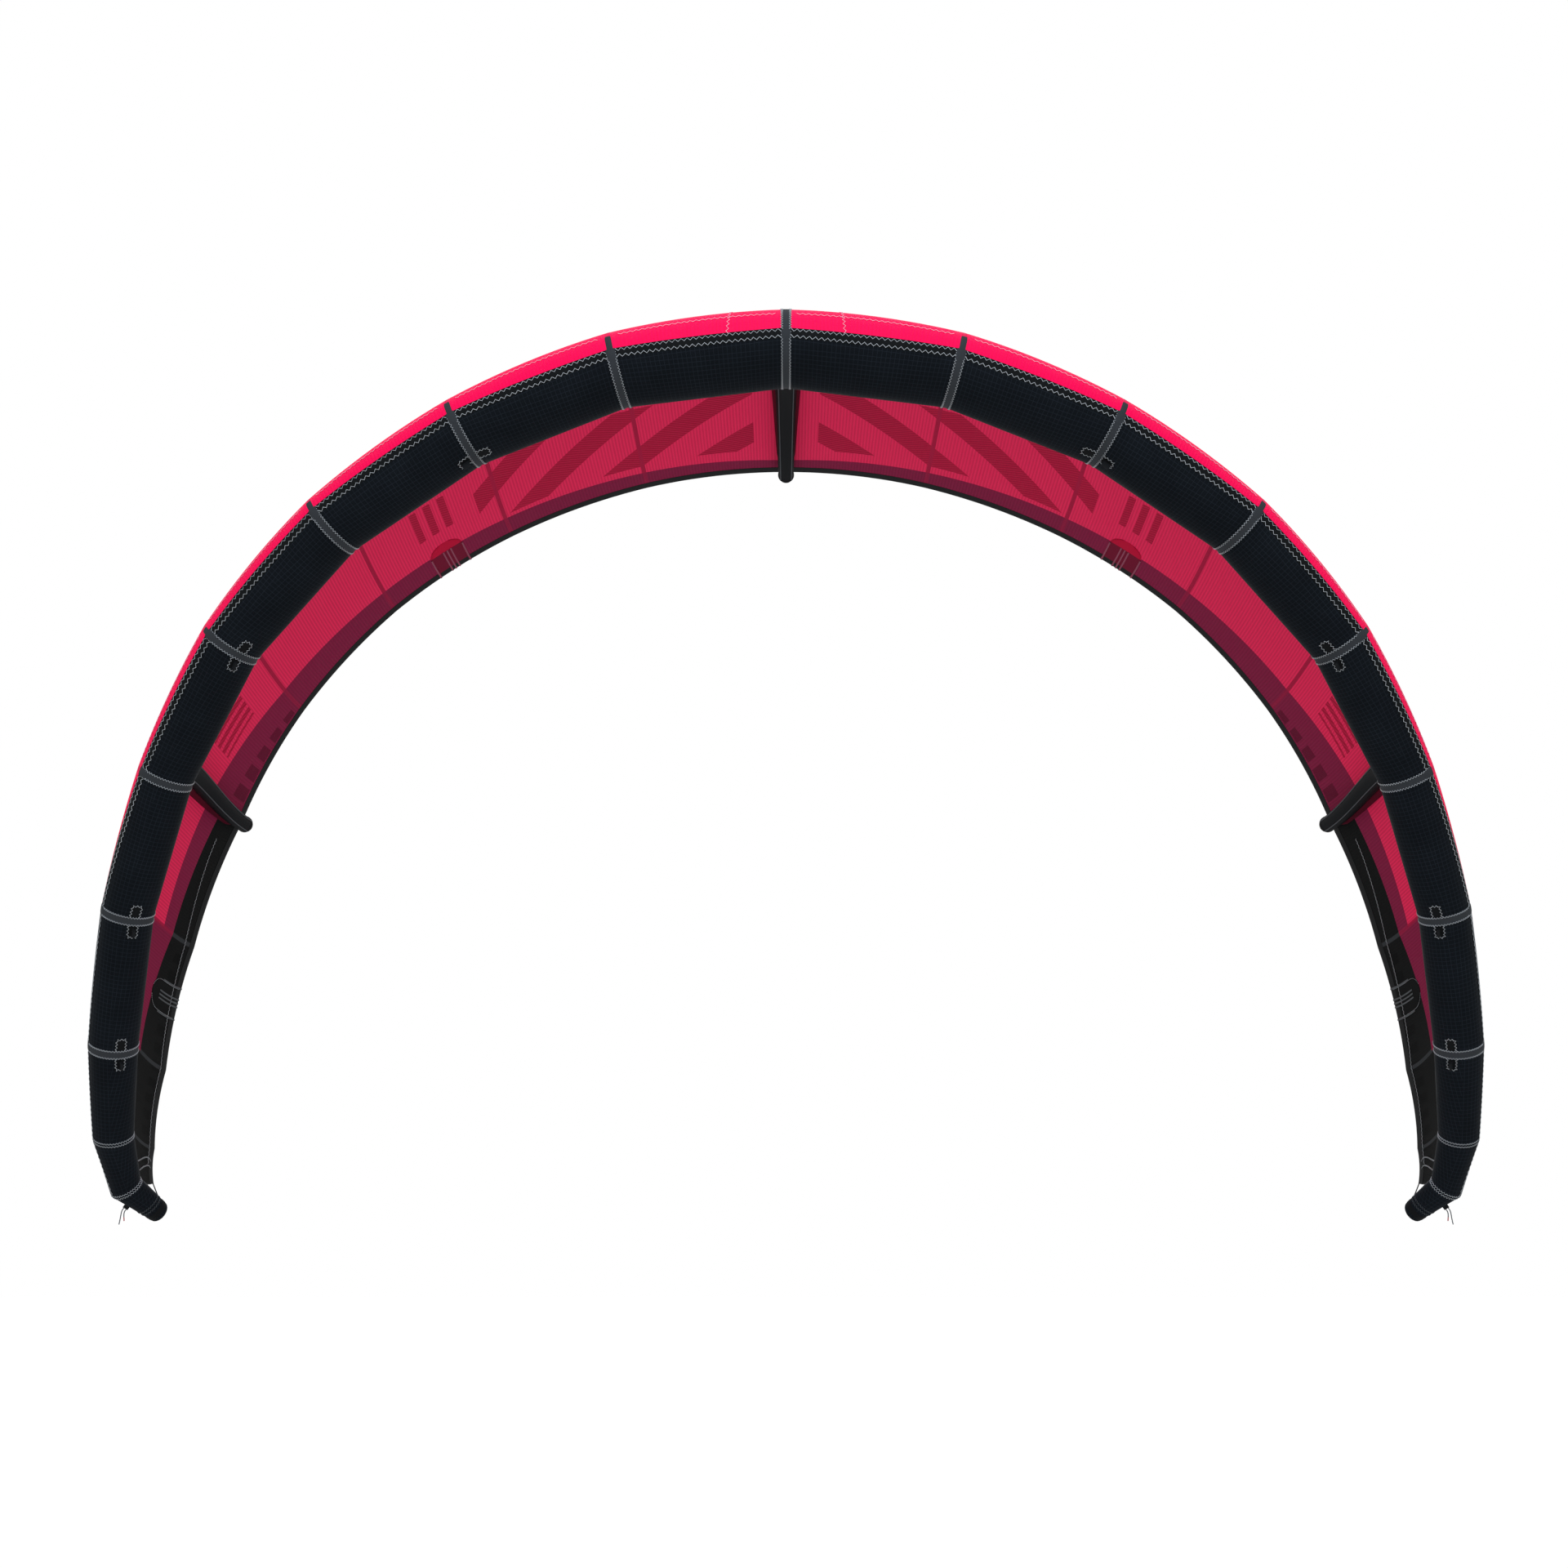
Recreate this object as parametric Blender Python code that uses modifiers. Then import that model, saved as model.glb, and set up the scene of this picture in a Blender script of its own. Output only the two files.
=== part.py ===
"""Three-strut inflatable kite for kitesurfing, in its flying shape.

Metres, +Z up. The origin is on the axis of the leading-edge tube at its centre seam.
+Y runs along the centre strut to the trailing edge and +X along the span. Each half of
the leading edge is a chain of straight tapered tubes, numbered outwards from the centre
by the seams between them: seam 0 is the centre, seam 9 the elbow, seam 10 the wing tip.
"""
import math

import bmesh
import bpy
from mathutils import Matrix, Vector

# Leading-edge tube: the first segment beside the centre, and the others by its length
CENTRE_SEGMENT_LENGTH = 0.456
LE_DIAMETER = 0.206
SEGMENT_LENGTH_SHARES = (1.0, 0.975, 0.97, 0.945, 0.92, 0.905, 0.88, 0.63, 0.38, 0.27)
LE_DIAMETER_SHARES = (1.0, 0.98, 0.94, 0.88, 0.81, 0.74, 0.70, 0.67, 0.56, 0.46, 0.31)
# Each segment's drop below level and its sweep back, in degrees
SEGMENT_DROP_DEGREES = (7, 21, 33, 47, 61, 71, 80, 85, 98, 139)
SEGMENT_SWEEP_DEGREES = (1.5, 6, 10.5, 13.5, 16.5, 20, 22, 27, 31, 29)
LE_SIDES = 18
TIP_SEAM = len(SEGMENT_DROP_DEGREES)
ELBOW_SEAM = TIP_SEAM - 1
ELBOW_START = ELBOW_SEAM - 1

# Casing cloth, seam tapes and the gap that keeps touching pieces apart
CASING_WALL = 0.0016
TAPE_THICKNESS = 0.0008
TAPE_WIDTH = 0.026
CLEARANCE = 0.0003
SMOOTH_ANGLE = 40
TIP_DOME_SHARE = 0.45
TIP_DOME_RADIUS_SHARE = 0.76

# Canopy: chord from the tube's axis to the trailing edge at seams 0 to 9
CENTRE_CHORD = 1.50
CHORD_SHARES = (1.0, 0.992, 0.953, 0.893, 0.82, 0.733, 0.633, 0.52, 0.42, 0.34)
# The chord's toe outwards and its rise, in degrees, at the same seams
CHORD_TOES = (0, -0.5, 0, 0, 0, -0.4, 0.2, 1.0, 1.5, 3.5)
CHORD_RISES = (0, 0.2, 0.2, 0, -0.6, -1.0, -2.4, -4.0, -3.6, 0)
# Where the canopy's front seam runs round the tube, in degrees up from straight ahead
FRONT_SEAM_ANGLES = (28, 28, 30, 34, 41, 52, 66, 80, 88, 92)
LEAVE_ANGLE = 79
SHORTEST_WRAP = 12
WRAP_STEPS = 3
FREE_STEPS = 9
CANOPY_CLOTH = 0.0014
FRONT_HANDLE_SHARE = 0.42
REAR_HANDLE_SHARE = 0.36
TRAILING_SLOPE = 9
PANEL_STEPS = 4
TIP_PANEL_STEPS = 2
BILLOW_SHARE = 0.028
PANEL_SEAMS = ((0, 1), (1, 2), (2, 3), (3, 4), (4, 5), (5, 6), (6, 9))

# Trailing-edge hem and its leech line
HEM_WIDTH = 0.011
HEM_THICKNESS = 0.004
LEECH_LINE_THICKNESS = 0.003

# Struts
STRUT_SEAMS = {"centre": 0, "right": 5, "left": 5}
STRUT_FRONT_DIAMETER = 0.082
STRUT_REAR_DIAMETER = 0.048
STRUT_SIDES = 14
STRUT_SEAT = 0.0009
STRUT_FRONT_DROP = 0.036
STRUT_DROP_END_SHARE = 0.45
CAP_LENGTH = 0.026
CAP_SPIGOT = 0.022

# Bladders
BLADDER_WALL = 0.0010
BLADDER_GAP = 0.0008
BLADDER_SIDES = 10
BLADDER_END_SHARE = 0.5
BLADDER_NECK_RADIUS = 0.0085

# Bridle tabs: a folded webbing loop on the outboard side of these seams
TAB_SEAMS = (2, 4, 6, 7)
TAB_ANGLES = {2: -58, 4: -38, 6: -30, 7: -30}
TAB_WIDTH = 0.022
TAB_THICKNESS = 0.005
TAB_HEIGHT = 0.020
TAB_SETBACK = 0.030

# Tip tab and pigtails
TIP_TAB_LENGTH = 0.016
TIP_TAB_HEIGHT = 0.012
TIP_TAB_THICKNESS = 0.004
TIP_TAB_SHARE = 0.4
TIP_TAB_ANGLE = 90
PIGTAIL_DIAMETER = 0.003
PIGTAIL_LONG_ROUTE = ((0, 0, 0), (0.0035, 0, -0.0045), (0.006, 0, -0.010), (0.0075, -0.001, -0.018),
                      (0.009, -0.001, -0.028), (0.011, 0, -0.038), (0.013, 0, -0.047))
PIGTAIL_SHORT_ROUTE = ((0, 0, 0), (0.0035, 0, -0.0045), (0.0055, 0, -0.011), (0.006, 0.001, -0.018),
                       (0.0055, 0.001, -0.026), (0.005, 0.001, -0.033))

# Inflation valve, on the lower rear of the first segment right of the centre
VALVE_SEGMENT_SHARE = 0.48
VALVE_FACET = 10.5
VALVE_PAD_RADIUS = 0.030
VALVE_PAD_TOP = 0.0045
VALVE_PAD_DEPTH = 0.012
VALVE_STEP_RADIUS = 0.0156
VALVE_STEP_DEPTH = 0.0010
VALVE_NECK_RADIUS = 0.0160
VALVE_NECK_DEPTH = 0.011
VALVE_BORE_RADIUS = 0.0120
INSERT_HEAD_RADIUS = 0.0150
INSERT_HEAD_HEIGHT = 0.0060
INSERT_BORE_RADIUS = 0.0070
GRIP_NOTCHES = 8
GRIP_NOTCH_RADIUS = 0.0018
CAP_DISC_RADIUS = 0.0125
CAP_DISC_HEIGHT = 0.0025
CAP_PLUG_DEPTH = 0.0070
CAP_PLUG_WALL = 0.0018
CAP_TAB_LENGTH = 0.0085
CAP_TAB_WIDTH = 0.009
TURN_STEPS = 20

# One-pump hoses
HOSE_RADIUS = 0.009
HOSE_SIDES = 10
HOSE_STEPS = 12
HOSE_SPAN_OFFSET = 0.115
HOSE_STRUT_REACH = 0.125
HOSE_FACET = 9.5
HOSE_PINCH_HEIGHT = 0.0035
HOSE_PINCH_WIDTH = 0.0115
HOSE_PINCH_SHARE = 0.16

# Pinch clips
CLIP_LENGTH = 0.015
CLIP_WALL = 0.0028
CLIP_GAP = 0.0014
BEND_ROOM = 0.0007
LEVER_THICKNESS = 0.0030
LEVER_TAB = 0.010
BARREL_RADIUS = 0.0030
PIN_RADIUS = 0.0012
BARREL_STEPS = 10
KNUCKLE_LENGTH = 0.0036
HINGE_DEPTH_SHARE = 0.4
CUT_OVERRUN = 0.004


def clear_scene():
    """Start from an empty file."""
    for item in list(bpy.data.objects):
        bpy.data.objects.remove(item, do_unlink=True)


def new_collection(name):
    """Add a collection to the scene."""
    collection = bpy.data.collections.new(name)
    bpy.context.scene.collection.children.link(collection)
    return collection


clear_scene()
KITE = new_collection("kitesurfing_kite")
CUTTERS = new_collection("cutters")


def make_material(name, colour, roughness, metallic=0.0):
    """One Principled material from a linear colour."""
    material = bpy.data.materials.new(name)
    material.use_nodes = True
    shader = material.node_tree.nodes["Principled BSDF"]
    shader.inputs["Base Color"].default_value = (*colour, 1.0)
    shader.inputs["Roughness"].default_value = roughness
    shader.inputs["Metallic"].default_value = metallic
    material.diffuse_color = (*colour, 1.0)
    return material


BLACK_CASING = make_material("black_sewn_casing", (0.008, 0.010, 0.012), 0.62)
PINK_CANOPY = make_material("pink_ripstop", (0.78, 0.004, 0.09), 0.50)
BLACK_HEM = make_material("black_hem_tape", (0.006, 0.007, 0.008), 0.70)
GREY_WEBBING = make_material("grey_webbing", (0.05, 0.055, 0.06), 0.75)
CLEAR_BLADDER = make_material("clear_bladder_film", (0.60, 0.63, 0.64), 0.30)
MOULDED_CAP = make_material("moulded_black_rubber", (0.007, 0.008, 0.009), 0.50)
VALVE_GREY = make_material("grey_valve_moulding", (0.11, 0.12, 0.13), 0.45)
HOSE_GREY = make_material("smoky_hose", (0.24, 0.26, 0.27), 0.35)
CLIP_RED = make_material("red_clip_moulding", (0.55, 0.02, 0.04), 0.42)


def add_object(name, mesh, material, collection=KITE):
    """Link a mesh under the given name."""
    thing = bpy.data.objects.new(name, mesh)
    if not mesh.materials:
        mesh.materials.append(material)
    collection.objects.link(thing)
    if collection == CUTTERS:
        thing.hide_render = True
        thing.display_type = "WIRE"
    return thing


def mesh_from_bmesh(name, shape, outward=True):
    """Turn a bmesh into a mesh with outward faces and smooth round sides.

    Every four-sided face is cut along its shorter diagonal, so that the inner and
    outer faces of a thin twisted wall bend alike.
    """
    if outward:
        bmesh.ops.recalc_face_normals(shape, faces=shape.faces)
    bmesh.ops.triangulate(shape, faces=shape.faces, quad_method="SHORT_EDGE")
    mesh = bpy.data.meshes.new(name)
    shape.to_mesh(mesh)
    shape.free()
    mesh.shade_smooth()
    mesh.set_sharp_from_angle(angle=math.radians(SMOOTH_ANGLE))
    return mesh


def loft(name, rings, closed=False):
    """Join rings of equally many points; close the loft on itself, or cap both ends."""
    shape = bmesh.new()
    rows = [[shape.verts.new(point) for point in ring] for ring in rings]
    pairs = list(zip(rows, rows[1:]))
    if closed:
        pairs.append((rows[-1], rows[0]))
    for near, far in pairs:
        for k in range(len(near)):
            following = (k + 1) % len(near)
            shape.faces.new((near[k], near[following], far[following], far[k]))
    if not closed:
        shape.faces.new(rows[0])
        shape.faces.new(rows[-1])
    return mesh_from_bmesh(name, shape)


def apply_boolean(target, cutter, operation):
    """Cut or join a hidden shape."""
    modifier = target.modifiers.new(operation.lower(), "BOOLEAN")
    modifier.operation = operation
    modifier.solver = "EXACT"
    modifier.object = cutter


def facet_depth(radius, sides):
    """How far the middle of a facet lies inside the circle."""
    return radius * (1 - math.cos(math.pi / sides))


def facet_angle(number):
    """Where a facet of the leading edge lies round the tube, in degrees."""
    return 360 * number / LE_SIDES


def blend(a, b, share):
    """The point a given share of the way from a to b."""
    return a + (b - a) * share


def ease(share):
    """Nothing below 0 and all at 1, with a level start and end."""
    share = max(0.0, share)
    return (1 - math.cos(share * math.pi)) / 2


class Seam:
    """One seam of the right half: where the tube's axis bends, and the frame there."""

    def __init__(self, number, point, tangent, chord_direction):
        self.number = number
        self.point = point
        self.tangent = tangent
        self.radius = LE_DIAMETER * LE_DIAMETER_SHARES[number] / 2
        self.chord_direction = chord_direction
        self.back = (chord_direction - tangent * chord_direction.dot(tangent)).normalized()
        self.up = tangent.cross(self.back).normalized()

    def at(self, degrees, offset=0.0):
        """A point round the tube: 0 is straight ahead, 90 is the top."""
        angle = math.radians(degrees)
        return self.point + self.outward(angle) * (self.radius + offset)

    def outward(self, angle):
        """The tube's outward direction at an angle in radians."""
        return self.up * math.sin(angle) - self.back * math.cos(angle)

    def ring(self, offset=0.0, sides=LE_SIDES):
        """The tube's section in the seam's plane."""
        return [self.at(360 * k / sides, offset) for k in range(sides)]


def segment_direction(drop, sweep):
    """The direction of a segment that drops and sweeps back by these degrees."""
    drop = math.radians(drop)
    sweep = math.radians(sweep)
    return Vector((math.cos(sweep) * math.cos(drop), math.sin(sweep), -math.cos(sweep) * math.sin(drop)))


def chord_heading(toe, rise):
    """The direction from the tube's axis to the trailing edge."""
    toe = math.radians(toe)
    rise = math.radians(rise)
    return Vector((math.sin(toe) * math.cos(rise), math.cos(toe) * math.cos(rise), math.sin(rise)))


def make_seams():
    """Walk along the right half of the leading edge, seam by seam."""
    directions = [segment_direction(*pair) for pair in zip(SEGMENT_DROP_DEGREES, SEGMENT_SWEEP_DEGREES)]
    point = Vector((0, 0, 0))
    seams = []
    for number in range(TIP_SEAM + 1):
        if number == 0:
            tangent = Vector((1, 0, 0))
        elif number == TIP_SEAM:
            tangent = directions[-1]
        else:
            tangent = (directions[number - 1] + directions[number]).normalized()
        chord = min(number, ELBOW_SEAM)
        heading = chord_heading(CHORD_TOES[chord], CHORD_RISES[chord])
        seams.append(Seam(number, point.copy(), tangent, heading))
        if number < TIP_SEAM:
            point = point + directions[number] * CENTRE_SEGMENT_LENGTH * SEGMENT_LENGTH_SHARES[number]
    return seams


SEAMS = make_seams()
SIDES = {"right": 1, "left": -1}


def mirrored(points, side):
    """Points of the right half, carried to the given half."""
    return [Vector((point.x * SIDES[side], point.y, point.z)) for point in points]


def segment_length(number):
    """The axis length of one segment."""
    return (SEAMS[number + 1].point - SEAMS[number].point).length


def segment_ring(number, share, offset=0.0, sides=LE_SIDES):
    """A ring part of the way along a segment."""
    near = SEAMS[number].ring(offset, sides)
    far = SEAMS[number + 1].ring(offset, sides)
    return [blend(a, b, share) for a, b in zip(near, far)]


def leading_edge_segment(number, side):
    """A hollow tapered tube with a raised tape at each seam."""
    length = segment_length(number)
    end = CLEARANCE / 2 / length
    tape = TAPE_WIDTH / 2 / length
    stops = ((end, -CASING_WALL), (end, TAPE_THICKNESS), (tape, TAPE_THICKNESS), (tape, 0.0),
             (1 - tape, 0.0), (1 - tape, TAPE_THICKNESS), (1 - end, TAPE_THICKNESS), (1 - end, -CASING_WALL))
    rings = [mirrored(segment_ring(number, share, offset), side) for share, offset in stops]
    name = f"leading_edge_{side}_{number + 1}"
    return add_object(name, loft(name, rings, closed=True), BLACK_CASING)


def tip_dome(offset, length):
    """The small end ring that rounds the wing tip off."""
    seam = SEAMS[TIP_SEAM]
    centre = seam.point + seam.tangent * (seam.radius * TIP_DOME_SHARE + length)
    scale = TIP_DOME_RADIUS_SHARE
    return [centre + (point - seam.point) * scale for point in seam.ring(offset)]


def wing_tip_elbow(side):
    """The last two segments, sewn as one bent piece and closed at the wing tip."""
    first = ELBOW_START
    length = segment_length(first)
    end = CLEARANCE / 2 / length
    tape = TAPE_WIDTH / 2 / length
    rings = [
        tip_dome(0.0, 0.0),
        SEAMS[TIP_SEAM].ring(),
        SEAMS[ELBOW_SEAM].ring(),
        segment_ring(first, tape),
        segment_ring(first, tape, TAPE_THICKNESS),
        segment_ring(first, end, TAPE_THICKNESS),
        segment_ring(first, end, -CASING_WALL),
        SEAMS[ELBOW_SEAM].ring(-CASING_WALL),
        SEAMS[TIP_SEAM].ring(-CASING_WALL),
        tip_dome(-CASING_WALL, -CASING_WALL),
    ]
    name = f"wing_tip_{side}"
    return add_object(name, loft(name, [mirrored(ring, side) for ring in rings]), BLACK_CASING)


def tube_frame(number, share, degrees, side, offset=0.0):
    """A frame on the tube's surface: X along the tube, Z outwards."""
    near = SEAMS[number].at(degrees, offset)
    far = SEAMS[number + 1].at(degrees, offset)
    along = (far - near).normalized()
    angle = math.radians(degrees)
    outward = blend(SEAMS[number].outward(angle), SEAMS[number + 1].outward(angle), share)
    outward = (outward - along * outward.dot(along)).normalized()
    spot, along, outward = mirrored((blend(near, far, share), along, outward), side)
    across = outward.cross(along)
    frame = Matrix((along, across, outward)).transposed().to_4x4()
    frame.translation = spot
    return frame


def box_mesh(name, size, centre):
    """A box of the given size about a centre."""
    shape = bmesh.new()
    bmesh.ops.create_cube(shape, size=1)
    bmesh.ops.scale(shape, vec=size, verts=shape.verts)
    bmesh.ops.translate(shape, vec=centre, verts=shape.verts)
    return mesh_from_bmesh(name, shape)


def cylinder_mesh(name, radius, depth, sides=LE_SIDES, centre=(0, 0, 0), turn=None):
    """A capped cylinder along Z, or turned by a matrix."""
    shape = bmesh.new()
    bmesh.ops.create_cone(shape, cap_ends=True, segments=sides, radius1=radius, radius2=radius, depth=depth)
    if turn is not None:
        bmesh.ops.transform(shape, matrix=turn, verts=shape.verts)
    bmesh.ops.translate(shape, vec=centre, verts=shape.verts)
    return mesh_from_bmesh(name, shape)


def add_tab(casing, number, side):
    """Sew a webbing loop on a casing, just outboard of a seam."""
    share = TAB_SETBACK / segment_length(number)
    height = TAB_HEIGHT + facet_depth(SEAMS[number].radius, LE_SIDES) + CASING_WALL / 2
    loop = box_mesh(casing.name + "_loop", (TAB_WIDTH, TAB_THICKNESS, height),
                    (0, 0, TAB_HEIGHT - height / 2))
    loop = add_object(casing.name + "_loop", loop, BLACK_CASING, CUTTERS)
    loop.matrix_world = tube_frame(number, share, TAB_ANGLES[number], side)
    apply_boolean(casing, loop, "UNION")


def le_solid(name, first, last, offset, side):
    """A hidden solid of the leading-edge tube from one seam to another, as a cutter."""
    if first == 0 and side == "centre":
        rings = [mirrored(SEAMS[1].ring(offset), "left"), SEAMS[0].ring(offset), SEAMS[1].ring(offset)]
    else:
        rings = [mirrored(SEAMS[number].ring(offset), side) for number in range(first, last + 1)]
    return add_object(name, loft(name, rings), BLACK_CASING, CUTTERS)


def canopy_seat(seam):
    """How far the canopy's underside clears the tube: the tape, and the flats of both."""
    angles = wrap_angles(seam.number)
    step = math.radians(angles[1] - angles[0])
    sagitta = seam.radius * (1 - math.cos(step / 2))
    return TAPE_THICKNESS + sagitta + CLEARANCE


def wrap_angles(number):
    """The angles round the tube, from the canopy's front seam to where it leaves."""
    front = FRONT_SEAM_ANGLES[number]
    leave = max(LEAVE_ANGLE, front + SHORTEST_WRAP)
    return [front + (leave - front) * k / WRAP_STEPS for k in range(WRAP_STEPS + 1)]


def trailing_point(number):
    """The trailing edge at a seam."""
    seam = SEAMS[number]
    return seam.point + seam.chord_direction * CENTRE_CHORD * CHORD_SHARES[number]


def canopy_curve(number):
    """The canopy's underside at a seam, from the front seam to the trailing edge."""
    seam = SEAMS[number]
    seat = canopy_seat(seam)
    angles = wrap_angles(number)
    points = [seam.at(angle, seat) for angle in angles]
    leave = math.radians(angles[-1])
    start = points[-1]
    end = trailing_point(number)
    reach = (end - start).length
    slope = math.radians(TRAILING_SLOPE)
    leaving = seam.back * math.sin(leave) + seam.up * math.cos(leave)
    arriving = seam.chord_direction * math.cos(slope) - seam.up * math.sin(slope)
    first_handle = start + leaving * reach * FRONT_HANDLE_SHARE
    second_handle = end - arriving * reach * REAR_HANDLE_SHARE
    for k in range(1, FREE_STEPS + 1):
        t = k / FREE_STEPS
        points.append(start * (1 - t) ** 3 + first_handle * 3 * t * (1 - t) ** 2
                      + second_handle * 3 * t ** 2 * (1 - t) + end * t ** 3)
    return points


CANOPY_CURVES = [canopy_curve(number) for number in range(ELBOW_SEAM + 1)]


def canopy_row(number, share):
    """The canopy's underside part of the way across a panel, lifted by its billow."""
    near = CANOPY_CURVES[number]
    far = CANOPY_CURVES[number + 1]
    up = blend(SEAMS[number].up, SEAMS[number + 1].up, share).normalized()
    height = BILLOW_SHARE * segment_length(number) * 4 * share * (1 - share)
    row = []
    for k, (a, b) in enumerate(zip(near, far)):
        growth = max(0.0, (k - WRAP_STEPS) / FREE_STEPS)
        row.append(blend(a, b, share) + up * height * math.sin(growth * math.pi / 2))
    return row


def panel_rows(first, last, steps):
    """Rows of a panel, its outer rows drawn in by half the clearance."""
    rows = []
    for number in range(first, last):
        edge = CLEARANCE / 2 / segment_length(number)
        for k in range(steps + 1):
            share = k / steps
            if number == first and k == 0:
                share = edge
            elif number == last - 1 and k == steps:
                share = 1 - edge
            elif k == 0:
                continue
            rows.append(canopy_row(number, share))
    return rows


def canopy_panel(index, side):
    """One cambered panel between two seams."""
    first, last = PANEL_SEAMS[index]
    steps = PANEL_STEPS if last - first == 1 else TIP_PANEL_STEPS
    rows = [mirrored(row, side) for row in panel_rows(first, last, steps)]
    name = f"canopy_panel_{side}_{index + 1}"
    shape = bmesh.new()
    grid = [[shape.verts.new(point) for point in row] for row in rows]
    for near, far in zip(grid, grid[1:]):
        for k in range(len(near) - 1):
            corners = [near[k], near[k + 1], far[k + 1], far[k]]
            if side == "right":
                corners.reverse()
            shape.faces.new(corners)
    mesh = bpy.data.meshes.new(name)
    shape.to_mesh(mesh)
    shape.free()
    mesh.shade_smooth()
    panel = add_object(name, mesh, PINK_CANOPY)
    cloth = panel.modifiers.new("cloth", "SOLIDIFY")
    cloth.thickness = CANOPY_CLOTH
    cloth.offset = 1
    return panel


def trailing_edge_hem(side):
    """The folded tape behind the trailing edge, and the leech line on to the wing tip."""
    stations = []
    for first, last in PANEL_SEAMS:
        steps = PANEL_STEPS if last - first == 1 else TIP_PANEL_STEPS
        for number in range(first, last):
            for k in range(steps):
                share = k / steps
                if number == 0 and k == 0:
                    share = CLEARANCE / 2 / segment_length(0)
                up = SEAMS[0].up
                if number > 0 or k > 0:
                    up = blend(SEAMS[number].up, SEAMS[number + 1].up, share).normalized()
                stations.append((canopy_row(number, share)[-1], up))
    stations.append((CANOPY_CURVES[ELBOW_SEAM][-1], SEAMS[ELBOW_SEAM].up))
    rings = []
    for point, up in stations:
        chord = SEAMS[0].chord_direction
        inner = point + chord * CLEARANCE
        outer = inner + chord * HEM_WIDTH
        lower = up * (CANOPY_CLOTH - HEM_THICKNESS) / 2
        upper = lower + up * HEM_THICKNESS
        rings.append([inner + lower, outer + lower, outer + upper, inner + upper])
    rings.extend(leech_line_rings())
    name = f"trailing_edge_hem_{side}"
    return add_object(name, loft(name, [mirrored(ring, side) for ring in rings]), BLACK_HEM)


def leech_line_rings():
    """Square sections of the line that runs from the corner to the wing tip."""
    tip = SEAMS[TIP_SEAM]
    elbow = SEAMS[ELBOW_SEAM]
    corner = CANOPY_CURVES[ELBOW_SEAM][-1] + elbow.chord_direction * HEM_WIDTH
    half = LEECH_LINE_THICKNESS / 2
    end = tip.at(180, half + CLEARANCE * 2)
    run = (end - corner).normalized()
    side = elbow.up.cross(run).normalized() * half
    rise = elbow.up * half
    rings = []
    for share in (0.08, 0.5, 1.0):
        centre = blend(corner, end, share)
        rings.append([centre - side - rise, centre + side - rise, centre + side + rise, centre - side + rise])
    return rings


def strut_path(number):
    """Centres and radii along a strut, hung under the canopy's seam."""
    seam = SEAMS[number]
    curve = CANOPY_CURVES[number][WRAP_STEPS:]
    path = []
    for k, point in enumerate(curve):
        share = k / FREE_STEPS
        before = curve[max(k - 1, 0)]
        after = curve[min(k + 1, FREE_STEPS)]
        run = (after - before).normalized()
        down = (run * seam.up.dot(run) - seam.up).normalized()
        radius = blend(STRUT_FRONT_DIAMETER, STRUT_REAR_DIAMETER, share) / 2
        drop = STRUT_FRONT_DROP * ease(1 - share / STRUT_DROP_END_SHARE)
        path.append((point + down * (radius + STRUT_SEAT + drop), run, down, radius))
    return path


def strut_ring(station, offset, sides, side):
    """A section of a strut, with a corner on its top line."""
    centre, run, down, radius = station
    across = run.cross(down)
    ring = []
    for k in range(sides):
        angle = math.tau * k / sides
        ring.append(centre + (across * math.sin(angle) - down * math.cos(angle)) * (radius + offset))
    return mirrored(ring, side)


def cut_station(path, from_end):
    """The last station of a path, moved back along it by a length."""
    centre, run, down, radius = path[-1]
    before = path[-2]
    share = from_end / (centre - before[0]).length
    return (blend(centre, before[0], share), run, down, blend(radius, before[3], share))


def strut_side(label):
    """The half that a strut is on; the centre strut is modelled in the right half."""
    return "left" if label == "left" else "right"


def strut(label):
    """A strut's casing: a hollow tapered tube, coped to the leading edge."""
    number = STRUT_SEAMS[label]
    side = strut_side(label)
    path = strut_path(number)
    path[-1] = cut_station(path, CAP_LENGTH)
    outer = [strut_ring(station, 0.0, STRUT_SIDES, side) for station in path]
    inner = [strut_ring(station, -CASING_WALL, STRUT_SIDES, side) for station in reversed(path)]
    name = f"strut_{label}"
    casing = add_object(name, loft(name, outer + inner, closed=True), BLACK_CASING)
    cope = TAPE_THICKNESS + CLEARANCE
    if number == 0:
        cutter = le_solid(name + "_cope", 0, 1, cope, "centre")
    else:
        cutter = le_solid(name + "_cope", number - 1, number + 1, cope, side)
    apply_boolean(casing, cutter, "DIFFERENCE")
    return casing


def strut_end_cap(label):
    """The moulded cap at the strut's tail, with a spigot in the casing."""
    number = STRUT_SEAMS[label]
    side = strut_side(label)
    path = strut_path(number)
    end = cut_station(path, CAP_LENGTH - CLEARANCE)
    centre, run, down, radius = end
    spigot_radius = radius - CASING_WALL - CLEARANCE * 2
    shrink = spigot_radius - radius
    stops = ((-CAP_SPIGOT, shrink), (0.0, shrink), (0.0, 0.0), (CAP_LENGTH * 0.45, -radius * 0.07),
             (CAP_LENGTH * 0.78, -radius * 0.28), (CAP_LENGTH, -radius * 0.62))
    rings = []
    for along, offset in stops:
        rings.append(strut_ring((centre + run * along, run, down, radius), offset, STRUT_SIDES, side))
    name = f"strut_end_cap_{label}"
    return add_object(name, loft(name, rings), MOULDED_CAP)


def bladder_room(radius, sides):
    """How much smaller than a casing's outside the bladder in it is drawn."""
    return CASING_WALL + facet_depth(radius, sides) + BLADDER_GAP


def bladder_ring(station, inset, side):
    """A section of a strut's bladder."""
    room = bladder_room(station[3], STRUT_SIDES)
    return strut_ring(station, -room - inset, BLADDER_SIDES, side)


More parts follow.
